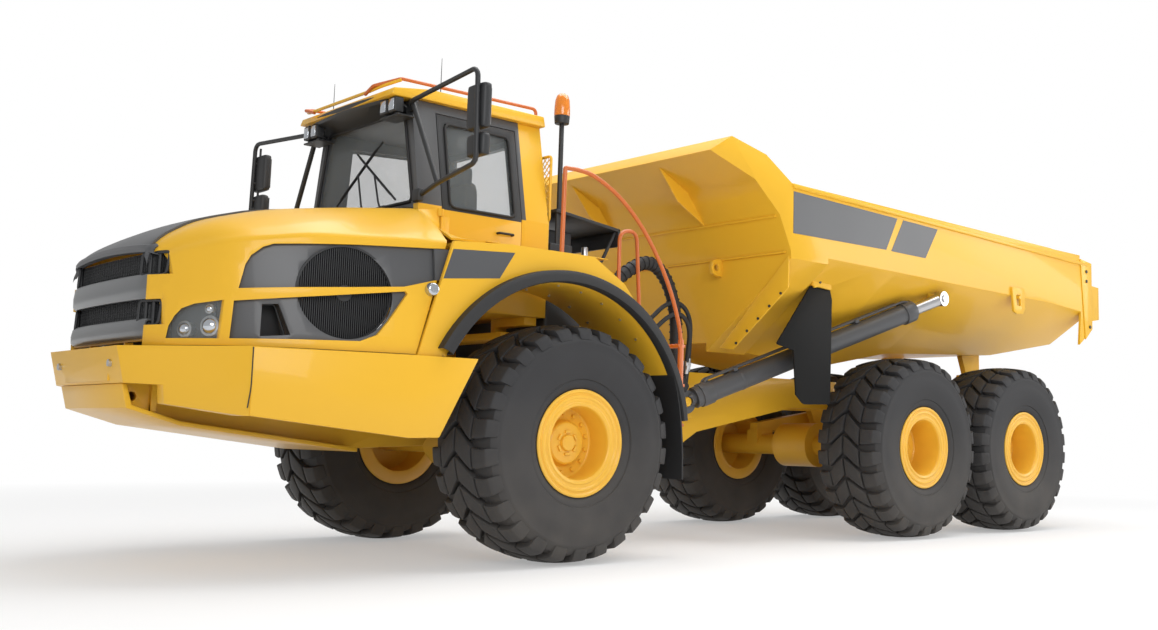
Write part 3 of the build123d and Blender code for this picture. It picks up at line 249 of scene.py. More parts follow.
def settle(piece, name):
    """Names a piece and puts its place into its mesh."""
    only(piece)
    bpy.ops.object.transform_apply(location=True, rotation=True, scale=True)
    piece.name = name
    piece.data.name = name
    return piece


def block(name, low, high):
    """A box between two corners."""
    low = Vector(low)
    high = Vector(high)
    bpy.ops.object.select_all(action="DESELECT")
    bpy.ops.mesh.primitive_cube_add(size=1, location=(low + high) / 2)
    piece = bpy.context.object
    piece.scale = high - low
    return settle(piece, name)


def rod(name, start, end, radius, sides=24, far_radius=None):
    """A round bar or cone between two points."""
    start = Vector(start)
    end = Vector(end)
    far_radius = radius if far_radius is None else far_radius
    bpy.ops.object.select_all(action="DESELECT")
    bpy.ops.mesh.primitive_cone_add(vertices=sides, radius1=radius, radius2=far_radius,
                                    depth=(end - start).length, location=(start + end) / 2)
    piece = bpy.context.object
    piece.rotation_mode = "QUATERNION"
    piece.rotation_quaternion = (end - start).to_track_quat("Z", "Y")
    return settle(piece, name)


def outline(name, places, filled=True):
    """A flat face, or only its edge, through a list of places."""
    bpy.ops.object.select_all(action="DESELECT")
    bpy.ops.mesh.primitive_circle_add(vertices=len(places), fill_type="NGON" if filled else "NOTHING")
    piece = bpy.context.object
    for corner, place in zip(piece.data.vertices, places):
        corner.co = place
    return settle(piece, name)


def plate(name, places, thickness):
    """A flat plate through a list of places, given its thickness along a vector."""
    piece = outline(name, places)
    bpy.ops.object.mode_set(mode="EDIT")
    bpy.ops.mesh.select_all(action="SELECT")
    bpy.ops.mesh.extrude_region_move(TRANSFORM_OT_translate={"value": Vector(thickness)})
    bpy.ops.mesh.select_all(action="SELECT")
    bpy.ops.mesh.normals_make_consistent(inside=False)
    bpy.ops.object.mode_set(mode="OBJECT")
    return piece


def tube(name, places, radius, bend=0.0, sides=3, closed=False):
    """A round tube along a line of places, with its corners rounded."""
    if len(places) == 2:
        return rod(name, places[0], places[1], radius, 4 * sides)
    piece = outline(name, places, filled=False)
    only(piece)
    bpy.ops.object.mode_set(mode="EDIT")
    if not closed:
        bpy.ops.mesh.select_all(action="DESELECT")
        bpy.ops.object.mode_set(mode="OBJECT")
        last = len(places) - 1
        for edge in piece.data.edges:
            edge.select = set(edge.vertices) == {0, last}
        bpy.ops.object.mode_set(mode="EDIT")
        bpy.ops.mesh.select_mode(type="EDGE")
        bpy.ops.mesh.delete(type="EDGE")
    if bend:
        bpy.ops.mesh.select_mode(type="VERT")
        bpy.ops.mesh.select_all(action="SELECT")
        if not closed:
            bpy.ops.object.mode_set(mode="OBJECT")
            piece.data.vertices[0].select = False
            piece.data.vertices[last].select = False
            bpy.ops.object.mode_set(mode="EDIT")
        bpy.ops.mesh.bevel(offset=bend, offset_type="OFFSET", segments=5, affect="VERTICES",
                           clamp_overlap=True)
    bpy.ops.object.mode_set(mode="OBJECT")
    bpy.ops.object.convert(target="CURVE")
    piece.data.bevel_depth = radius
    piece.data.bevel_resolution = sides
    piece.data.use_fill_caps = True
    bpy.ops.object.convert(target="MESH")
    return settle(piece, name)


def skin(name, rows):
    """A curved sheet through rows of places, all rows alike in length."""
    across = len(rows[0])
    bpy.ops.object.select_all(action="DESELECT")
    bpy.ops.mesh.primitive_grid_add(x_subdivisions=across - 1, y_subdivisions=len(rows) - 1, size=2)
    piece = bpy.context.object
    for row, places in enumerate(rows):
        for column, place in enumerate(places):
            piece.data.vertices[row * across + column].co = place
    return settle(piece, name)


def add_modifier(piece, kind, **values):
    """Adds a modifier with its values and applies it."""
    only(piece)
    modifier = piece.modifiers.new(kind.title(), kind)
    for key, value in values.items():
        setattr(modifier, key, value)
    bpy.ops.object.modifier_apply(modifier=modifier.name)
    return piece


def soften(piece, width, segments=2, angle=35):
    """Rounds the edges of a piece."""
    return add_modifier(piece, "BEVEL", width=width, segments=segments, limit_method="ANGLE",
                        angle_limit=math.radians(angle))


def rounder(piece, levels=2):
    return add_modifier(piece, "SUBSURF", levels=levels, render_levels=levels)


def cut(piece, cutter):
    """Takes the cutter's shape out of a piece."""
    add_modifier(piece, "BOOLEAN", operation="DIFFERENCE", object=cutter, solver="EXACT", use_self=True)
    bpy.data.objects.remove(cutter, do_unlink=True)
    return piece


def mirrored(piece, name):
    """A copy of a piece on the other side of the truck, with its faces outwards."""
    only(piece)
    bpy.ops.object.duplicate()
    twin = bpy.context.object
    twin.scale.y = -1
    settle(twin, name)
    bpy.ops.object.mode_set(mode="EDIT")
    bpy.ops.mesh.select_all(action="SELECT")
    bpy.ops.mesh.flip_normals()
    bpy.ops.object.mode_set(mode="OBJECT")
    return twin


def moved(piece, name, offset=(0, 0, 0), turn=0.0, axis="Y", about=(0, 0, 0)):
    """A copy of a piece, turned about an axis through a place and then shifted."""
    only(piece)
    bpy.ops.object.duplicate()
    twin = bpy.context.object
    about = Vector(about)
    twin.matrix_world = (Matrix.Translation(Vector(offset)) @ Matrix.Translation(about)
                         @ Matrix.Rotation(turn, 4, axis) @ Matrix.Translation(-about))
    return settle(twin, name)


def joined(pieces, name):
    """Joins pieces into one mesh."""
    bpy.ops.object.select_all(action="DESELECT")
    for piece in pieces:
        piece.select_set(True)
    bpy.context.view_layer.objects.active = pieces[0]
    if len(pieces) > 1:
        bpy.ops.object.join()
    return settle(bpy.context.object, name)


def spun(name, profile, centre, steps=96):
    """A closed ring turned about the wheel's axis; the profile gives places along the axis and radii."""
    x, y, z = centre
    piece = outline(name, [(x, y + along, z + radius) for along, radius in profile], filled=False)
    only(piece)
    bpy.ops.object.mode_set(mode="EDIT")
    bpy.ops.mesh.select_all(action="SELECT")
    bpy.ops.mesh.spin(steps=steps, angle=math.tau, center=centre, axis=(0, 1, 0))
    bpy.ops.mesh.select_all(action="SELECT")
    bpy.ops.mesh.remove_doubles(threshold=0.0004)
    bpy.ops.mesh.normals_make_consistent(inside=False)
    bpy.ops.object.mode_set(mode="OBJECT")
    return piece


def ring_of(piece, name, count, about):
    """Copies of a piece all round a wheel's axis, joined into one mesh."""
    turns = [moved(piece, f"{name}_{number}", turn=math.tau * number / count, about=about)
             for number in range(1, count)]
    return joined([piece, *turns], name)


def eased(node, width=0.006, segments=2, angle=25):
    """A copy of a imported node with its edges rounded, which stands for it."""
    source = frame["nodes"][node]
    only(source)
    bpy.ops.object.duplicate()
    piece = bpy.context.object
    piece.parent = None
    settle(piece, f"{node}_panel")
    bpy.ops.object.mode_set(mode="EDIT")
    bpy.ops.mesh.select_all(action="SELECT")
    bpy.ops.mesh.remove_doubles(threshold=0.0002)
    bpy.ops.mesh.dissolve_limited(angle_limit=math.radians(1.5))
    bpy.ops.object.mode_set(mode="OBJECT")
    soften(piece, width, segments, angle)
    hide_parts(node)
    return piece


def dress(piece, body, slot, finish=None, smooth=30):
    """Shades a piece, gives it its finish and lets it ride on its body."""
    only(piece)
    if smooth:
        bpy.ops.object.shade_smooth_by_angle(angle=math.radians(smooth))
    if not piece.data.materials:
        piece.data.materials.append(finish_of(finish or slot))
    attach(piece, body)
    return piece


def here(x, y, z):
    """A place measured along the truck from the front axle, across it and up from the floor."""
    return Vector((x + FRONT_AXLE_X, y, z))


def path(*places):
    """Several places along the truck."""
    return [here(*place) for place in places]


def side_cutter(name, places, near, far):
    """A plate standing along the truck, its outline in x and z, between two places across."""
    corners = [here(x, near, z) for x, z in places]
    return plate(name, corners, (0, far - near, 0))


def threaded(places, steps):
    """Places along a smooth line through a few."""
    last = len(places) - 1
    line = []
    for number in range(last):
        before, start, end, after = (Vector(places[min(max(number + shift, 0), last)])
                                     for shift in (-1, 0, 1, 2))
        for step in range(steps):
            t = step / steps
            line.append(0.5 * (2 * start + (end - before) * t
                               + (2 * before - 5 * start + 4 * end - after) * t * t
                               + (3 * start - before - 3 * end + after) * t ** 3))
    line.append(Vector(places[last]))
    return line


def smooth_skin(name, rows, along, across):
    """A sheet that passes smoothly through rows of places."""
    fine = [threaded(row, across) for row in rows]
    lines = [threaded([row[column] for row in fine], along) for column in range(len(fine[0]))]
    return skin(name, [[line[number] for line in lines] for number in range(len(lines[0]))])


def kept(piece, keeper):
    """Keeps only what lies within the keeper's shape."""
    add_modifier(piece, "BOOLEAN", operation="INTERSECT", object=keeper, solver="EXACT", use_self=True)
    bpy.data.objects.remove(keeper, do_unlink=True)
    return piece


# Pieces

class HAULER_OT_stage(bpy.types.Operator):
    """Camera, pale floor and soft lamps"""
    bl_idname = "hauler.stage"
    bl_label = "Stage"

    def execute(self, context):
        values = stage_values()
        scene = context.scene
        scene.view_settings.view_transform = "Standard"
        bpy.ops.object.camera_add(location=values.camera_place)
        camera = context.object
        aim = Vector(values.camera_aim).normalized()
        right = aim.cross(Vector((0, 0, 1))).normalized()
        up = right.cross(aim)
        roll = values.camera_roll
        level = math.cos(roll) * right + math.sin(roll) * up
        upward = math.cos(roll) * up - math.sin(roll) * right
        turn = Matrix((level, upward, -aim)).transposed()
        camera.rotation_mode = "QUATERNION"
        camera.rotation_quaternion = turn.to_quaternion()
        camera.data.sensor_width = 36
        camera.data.lens = values.lens
        camera.data.shift_x = values.shift_x
        camera.data.shift_y = values.shift_y
        camera.data.clip_end = 200
        scene.camera = camera

        bpy.ops.mesh.primitive_grid_add(x_subdivisions=8, y_subdivisions=8, size=160)
        floor = settle(context.object, "floor")
        pale = bpy.data.materials.new("pale_floor")
        pale.use_nodes = True
        nodes = pale.node_tree.nodes
        links = pale.node_tree.links
        shader = nodes["Principled BSDF"]
        shader.inputs["Base Color"].default_value = (0.9, 0.9, 0.9, 1)
        shader.inputs["Roughness"].default_value = 0.8
        white = nodes.new("ShaderNodeEmission")
        white.inputs["Color"].default_value = (1, 1, 1, 1)
        rays = nodes.new("ShaderNodeLightPath")
        seen = nodes.new("ShaderNodeMath")
        seen.operation = "MAXIMUM"
        links.new(rays.outputs["Is Camera Ray"], seen.inputs[0])
        links.new(rays.outputs["Is Glossy Ray"], seen.inputs[1])
        place = nodes.new("ShaderNodeTexCoord")
        far = nodes.new("ShaderNodeVectorMath")
        far.operation = "LENGTH"
        links.new(place.outputs["Object"], far.inputs[0])
        fade = nodes.new("ShaderNodeMapRange")
        fade.inputs["From Min"].default_value = 5.0
        fade.inputs["From Max"].default_value = 14.0
        fade.inputs["To Min"].default_value = 0.35
        links.new(far.outputs["Value"], fade.inputs["Value"])
        share = nodes.new("ShaderNodeMath")
        share.operation = "MULTIPLY"
        links.new(seen.outputs["Value"], share.inputs[0])
        links.new(fade.outputs["Result"], share.inputs[1])
        mix = nodes.new("ShaderNodeMixShader")
        links.new(share.outputs["Value"], mix.inputs["Fac"])
        links.new(shader.outputs["BSDF"], mix.inputs[1])
        links.new(white.outputs["Emission"], mix.inputs[2])
        links.new(mix.outputs["Shader"], nodes["Material Output"].inputs["Surface"])
        floor.data.materials.append(pale)

        world = bpy.data.worlds.new("studio")
        scene.world = world
        world.use_nodes = True
        nodes = world.node_tree.nodes
        links = world.node_tree.links
        soft = nodes["Background"]
        soft.inputs["Color"].default_value = (1, 1, 1, 1)
        soft.inputs["Strength"].default_value = values.sky_strength
        plain = nodes.new("ShaderNodeBackground")
        plain.inputs["Color"].default_value = (1, 1, 1, 1)
        plain.inputs["Strength"].default_value = 1.0
        rays = nodes.new("ShaderNodeLightPath")
        seen = nodes.new("ShaderNodeMath")
        seen.operation = "MAXIMUM"
        links.new(rays.outputs["Is Camera Ray"], seen.inputs[0])
        links.new(rays.outputs["Is Transmission Ray"], seen.inputs[1])
        mix = nodes.new("ShaderNodeMixShader")
        links.new(seen.outputs["Value"], mix.inputs["Fac"])
        links.new(soft.outputs["Background"], mix.inputs[1])
        links.new(plain.outputs["Background"], mix.inputs[2])
        links.new(mix.outputs["Shader"], nodes["World Output"].inputs["Surface"])

        middle = Vector((-2.0, 0.0, 1.6))
        # lamp: place, power, width, height
        lamps = (
            ("overhead", (-1.0, 1.0, 10.0), values.key_power, 12.0, 8.0),
            ("camera_side", (9.0, 13.0, 6.0), values.fill_power, 8.0, 5.0),
            ("rear_side", (-12.0, 9.0, 5.0), values.fill_power * 0.6, 7.0, 5.0),
        )
        for name, place, power, width, height in lamps:
            bpy.ops.object.light_add(type="AREA", location=place)
            lamp = context.object
            lamp.name = name
            lamp.data.shape = "RECTANGLE"
            lamp.data.size = width
            lamp.data.size_y = height
            lamp.data.energy = power
            lamp.rotation_mode = "QUATERNION"
            lamp.rotation_quaternion = (middle - Vector(place)).to_track_quat("-Z", "Y")
        return {"FINISHED"}


class HAULER_OT_finishes(bpy.types.Operator):
    """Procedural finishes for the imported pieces"""
    bl_idname = "hauler.finishes"
    bl_label = "Finishes"

    def execute(self, context):
        for part in frame["record"]["subparts"]:
            for held in frame["nodes"][part["node"]].material_slots:
                held.material = finish_of(part["material_slot"])
        return {"FINISHED"}


# Wheels: axle, side, sign of the side
WHEELS = [(axle, hand, sign) for axle in ("front", "middle", "rear")
          for hand, sign in (("left", 1), ("right", -1))]
# Centre lugs round the tyre on each side, and as many shoulder lugs
PITCHES = 26
# Tyre section without its lugs: place across, radius
TYRE_SECTION = (
    (-0.300, 0.325), (-0.318, 0.335), (-0.322, 0.418), (-0.338, 0.432), (-0.352, 0.470), (-0.352, 0.486),
    (-0.362, 0.492), (-0.378, 0.560), (-0.3885, 0.640), (-0.3885, 0.700), (-0.383, 0.762), (-0.385, 0.772),
    (-0.383, 0.782), (-0.372, 0.800), (-0.345, 0.838), (-0.300, 0.853), (-0.18, 0.866), (0.0, 0.872),
    (0.18, 0.866), (0.300, 0.853), (0.345, 0.838), (0.372, 0.800), (0.383, 0.782), (0.385, 0.772),
    (0.383, 0.762), (0.3885, 0.700), (0.3885, 0.640), (0.378, 0.560), (0.362, 0.492), (0.352, 0.486),
    (0.352, 0.470), (0.338, 0.432), (0.322, 0.418), (0.318, 0.335), (0.300, 0.325),
)
# Lugs: place across, radius at the tip, start and end along the tread in pitches
CENTRE_LUG = ((0.012, 0.923, 0.02, 0.80), (0.075, 0.922, 0.23, 1.03), (0.135, 0.918, 0.46, 1.26),
              (0.188, 0.913, 0.66, 1.44))
SHOULDER_LUG = ((0.206, 0.911, 0.68, 1.38), (0.250, 0.905, 0.74, 1.40), (0.300, 0.897, 0.75, 1.38),
                (0.343, 0.887, 0.73, 1.35), (0.364, 0.855, 0.72, 1.34), (0.376, 0.812, 0.73, 1.33),
                (0.380, 0.795, 0.76, 1.30))


def lug(name, stations, centre, side):
    """One tread lug, wrapped round the tyre and sunk into it."""
    rows = []
    for step in range(4):
        row = []
        for across, radius, start, end in stations:
            turn = (start + (end - start) * step / 3) * math.tau / PITCHES
            row.append((centre[0] + radius * math.sin(turn), centre[1] + side * across,
                        centre[2] + radius * math.cos(turn)))
        rows.append(row if side > 0 else row[::-1])
    piece = skin(name, rows)
    add_modifier(piece, "SOLIDIFY", thickness=0.06, offset=1)
    return soften(piece, 0.007, 2, 40)


class HAULER_OT_tyres(bpy.types.Operator):
    """Six tyres with chevron lugs"""
    bl_idname = "hauler.tyres"
    bl_label = "Tyres"

    def execute(self, context):
        low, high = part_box("tyre_front_left")
        centre = tuple((low + high) / 2)
        lugs = []
        for side, hand in ((1, "outer"), (-1, "inner")):
            for kind, stations in (("centre", CENTRE_LUG), ("shoulder", SHOULDER_LUG)):
                one = lug(f"{kind}_lug_{hand}", stations, centre, side)
                lugs.append(ring_of(one, f"{kind}_lugs_{hand}", PITCHES, centre))
        carcass = spun("carcass", TYRE_SECTION, centre, 104)
        master = joined([carcass, *lugs], "tyre_master")
        for axle, hand, _ in WHEELS:
            node = f"tyre_{axle}_{hand}"
            low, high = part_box(node)
            offset = (low + high) / 2 - Vector(centre)
            tyre = moved(master, f"tread_{axle}_{hand}", offset=offset)
            dress(tyre, f"wheel_{axle}_{hand}", "tyre_rubber", smooth=32)
            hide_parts(node)
        bpy.data.objects.remove(master, do_unlink=True)
        return {"FINISHED"}


# Rim section: place along the axle from the rim's middle, radius
RIM_FACE = (
    (-0.342, 0.298), (-0.342, 0.405), (-0.336, 0.415), (-0.324, 0.413), (-0.320, 0.322), (0.318, 0.322),
    (0.320, 0.404), (0.326, 0.414), (0.336, 0.4149), (0.342, 0.406), (0.341, 0.392), (0.328, 0.382),
    (0.327, 0.372), (0.337, 0.366), (0.338, 0.350), (0.329, 0.343), (0.327, 0.320), (0.336, 0.313),
    (0.336, 0.303), (0.326, 0.284), (0.306, 0.277),
)


class HAULER_OT_rims(bpy.types.Operator):
    """Six rims with stepped flanges, hubs and bolts"""
    bl_idname = "hauler.rims"
    bl_label = "Rims"

    def execute(self, context):
        # kind: depth of the disc's face, depth of the hub's face, hub radius
        kinds = (("front", 0.100, 0.165, 0.178), ("rear", 0.0, 0.07, 0.20))
        masters = {}
        for kind, disc, hub, hub_radius in kinds:
            low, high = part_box(f"rim_{kind}_left")
            centre = Vector((low + high) / 2)
            profile = RIM_FACE + (
                (disc + 0.012, 0.277), (disc, 0.268), (disc, hub_radius + 0.006), (disc + 0.01, hub_radius),
                (hub - 0.012, hub_radius - 0.012), (hub, hub_radius - 0.026), (hub, 0.0),
                (-0.06, 0.0), (-0.06, 0.298),
            )
            rim = spun("rim", profile, centre, 72)
            soften(rim, 0.003, 2, 28)
            bolts = rod("bolt", centre + Vector((0, disc - 0.01, 0.228)),
                        centre + Vector((0, disc + 0.022, 0.228)), 0.017, 6)
            soften(bolts, 0.003, 1)
            bolts = ring_of(bolts, "wheel_bolts", 14, tuple(centre))
            cap = rod("hub_cap", centre + Vector((0, hub - 0.004, 0)), centre + Vector((0, hub + 0.026, 0)),
                      0.068, 40, 0.06)
            soften(cap, 0.006, 3)
            tabs = block("tab", centre + Vector((-0.025, hub - 0.004, 0.076)),
                         centre + Vector((0.025, hub + 0.016, 0.098)))
            soften(tabs, 0.005, 2)
            tabs = ring_of(tabs, "hub_tabs", 6, tuple(centre))
            valve = tube("valve", [centre + Vector((0.21, disc + 0.01, -0.115)),
                                   centre + Vector((0.215, disc + 0.09, -0.12)),
                                   centre + Vector((0.235, disc + 0.12, -0.13))], 0.009, 0.02)
            masters[kind] = joined([rim, bolts, cap, tabs, valve], f"{kind}_rim_master")
        for axle, hand, sign in WHEELS:
            node = f"rim_{axle}_{hand}"
            master = masters["front" if axle == "front" else "rear"]
            home = sum(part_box("rim_front_left" if axle == "front" else "rim_rear_left"), Vector()) / 2
            place = sum(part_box(node), Vector()) / 2
            turn = 0 if sign > 0 else math.pi
            rim = moved(master, f"wheel_rim_{axle}_{hand}", offset=place - home, turn=turn, axis="Z",
                        about=home)
            dress(rim, f"wheel_{axle}_{hand}", "rim_paint", smooth=35)
            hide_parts(node)
        for master in masters.values():
            bpy.data.objects.remove(master, do_unlink=True)
        return {"FINISHED"}


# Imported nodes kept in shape, with their edges rounded: node, body, slot, edge width
EASED = (
    ("bumper", "front_unit", "yellow_paint", 0.012),
    ("side_skirts", "front_unit", "yellow_paint", 0.008),
    ("fenders", "front_unit", "yellow_paint", 0.006),
    ("cab_shell", "front_unit", "yellow_paint", 0.008),
    ("cab_roof", "front_unit", "yellow_paint", 0.012),
    ("door_frame", "door", "grey_paint", 0.005),
    ("rear_frame", "rear_unit", "yellow_paint", 0.005),
    ("front_frame", "front_unit", "yellow_paint", 0.005),
    ("dump_body", "dump_bed", "yellow_paint", 0.006),
    ("hitch", "hitch_body", "yellow_paint", 0.006),
)


class HAULER_OT_panels(bpy.types.Operator):
    """Packed panels with rounded edges"""
    bl_idname = "hauler.panels"
    bl_label = "Panels"

    def execute(self, context):
        for node, body, slot, width in EASED:
            piece = eased(node, width)
            dress(piece, body, slot)
        return {"FINISHED"}


# Hood stations: x, bottom y, waist y, waist z, shoulder y, shoulder z, top z
HOOD_STATIONS = (
    (2.955, 0.700, 0.700, 2.085, 0.640, 2.160, 2.195),
    (2.870, 0.860, 0.850, 2.140, 0.740, 2.235, 2.265),
    (2.760, 1.030, 1.010, 2.190, 0.850, 2.305, 2.335),
    (2.600, 1.225, 1.190, 2.235, 0.950, 2.375, 2.420),
    (2.350, 1.385, 1.325, 2.275, 1.000, 2.440, 2.505),
    (2.100, 1.480, 1.410, 2.310, 1.030, 2.490, 2.570),
    (1.600, 1.590, 1.500, 2.340, 1.060, 2.570, 2.650),
    (1.130, 1.652, 1.562, 2.362, 1.080, 2.645, 2.702),
)
HOOD_LOW = 1.523
HOOD_WALL = 0.028
# Outlines in x and z
UPPER_WINDOW = ((2.566, 1.901), (2.535, 2.060), (2.505, 2.125), (2.440, 2.185), (2.378, 2.212),
                (2.104, 2.236), (1.836, 2.257), (1.140, 2.298), (1.215, 2.062), (1.306, 2.055),
                (1.530, 1.990), (1.900, 1.955))
LOWER_WINDOW = ((2.600, 1.570), (2.586, 1.818), (2.100, 1.879), (1.520, 1.958), (1.508, 1.940),
                (1.646, 1.735), (1.720, 1.640), (1.835, 1.590))
LAMP_WINDOW = ((2.868, 1.568), (2.860, 1.650), (2.839, 1.716), (2.812, 1.765), (2.760, 1.795),
               (2.632, 1.822), (2.646, 1.568))
DECAL_PANEL = ((1.300, 2.285), (1.150, 2.294), (1.215, 2.066), (1.300, 2.058))
UPPER_SLOT = ((2.855, 1.995), (2.995, 1.990), (2.995, 2.150), (2.875, 2.150))
LOWER_SLOT = ((2.875, 1.660), (2.995, 1.655), (2.995, 1.825), (2.890, 1.830))
VENT = ((2.426, 1.806), (2.333, 1.812), (2.262, 1.608), (2.431, 1.592))
HOOD_REAR = ((0.9, 1.40), (1.418, 1.40), (1.454, 1.515), (1.200, 2.350), (1.160, 2.560), (1.160, 3.0),
             (0.9, 3.0))
# Round screen in the flank: along, up, radius
FAN = (1.916, 1.915, 0.315)
# Share of a shift outwards that each hood station also takes forwards
HOOD_AHEAD = (1, 0.85, 0.8, 0.6, 0.35, 0.2, 0.1, 0)
# Cutters for a flank reach between these places across
FLANK_NEAR = 0.62
FLANK_FAR = 1.95


def outwards(piece):
    """Turns all faces of a closed piece outwards."""
    only(piece)
    bpy.ops.object.mode_set(mode="EDIT")
    bpy.ops.mesh.select_all(action="SELECT")
    bpy.ops.mesh.normals_make_consistent(inside=False)
    bpy.ops.object.mode_set(mode="OBJECT")
    return piece


def hood_sheet(name, out, thickness):
    """The hood's smooth form as a shell, further out or in, with its thickness inwards."""
    rows = []
    for station, ahead in zip(HOOD_STATIONS, HOOD_AHEAD):
        x, bottom, waist, waist_z, shoulder, shoulder_z, top_z = station
        middle = (bottom + waist) / 2 + 0.008
        half = [(bottom, HOOD_LOW), (middle, (HOOD_LOW + waist_z) / 2), (waist + 0.006, waist_z - 0.07),
                (waist - 0.006, waist_z - 0.012), (waist - 0.045, waist_z + 0.022),
                ((waist + shoulder) / 2, (waist_z + shoulder_z) / 2 + 0.012),
                (shoulder, shoulder_z), (shoulder * 0.82, (shoulder_z * 0.35 + top_z * 0.65)),
                (shoulder * 0.45, top_z)]
        half = [(y + out, z + out * min(1, (z - HOOD_LOW) / 0.9)) for y, z in half]
        full = half + [(0.0, top_z + 0.008 + out)] + [(-y, z) for y, z in reversed(half)]
        rows.append([here(x + out * ahead, y, z) for y, z in full])
    sheet = smooth_skin(name, rows, 4, 3)
    middle_face = min(sheet.data.polygons, key=lambda face: abs(face.center.y) + abs(face.center.x - 4.2))
    if middle_face.normal.z < 0:
        only(sheet)
        bpy.ops.object.mode_set(mode="EDIT")
        bpy.ops.mesh.select_all(action="SELECT")
        bpy.ops.mesh.flip_normals()
        bpy.ops.object.mode_set(mode="OBJECT")
    add_modifier(sheet, "SOLIDIFY", thickness=thickness, offset=-1)
    return outwards(sheet)


def both_sides(piece, places, name):
    """Cuts an outline out of both flanks."""
    for sign in (1, -1):
        cut(piece, side_cutter(f"{name}_cutter", places, sign * FLANK_NEAR, sign * FLANK_FAR))
    return piece


def hood_patch(name, out, thickness, places, near=FLANK_NEAR):
    """Two patches that follow the hood's form, one on each flank, as one piece."""
    patches = []
    for sign in (1, -1):
        patch = hood_sheet(f"{name}_{sign}", out, thickness)
        keeper = side_cutter(f"{name}_keeper", places, sign * near, sign * FLANK_FAR)
        patches.append(kept(patch, keeper))
    return joined(patches, name)


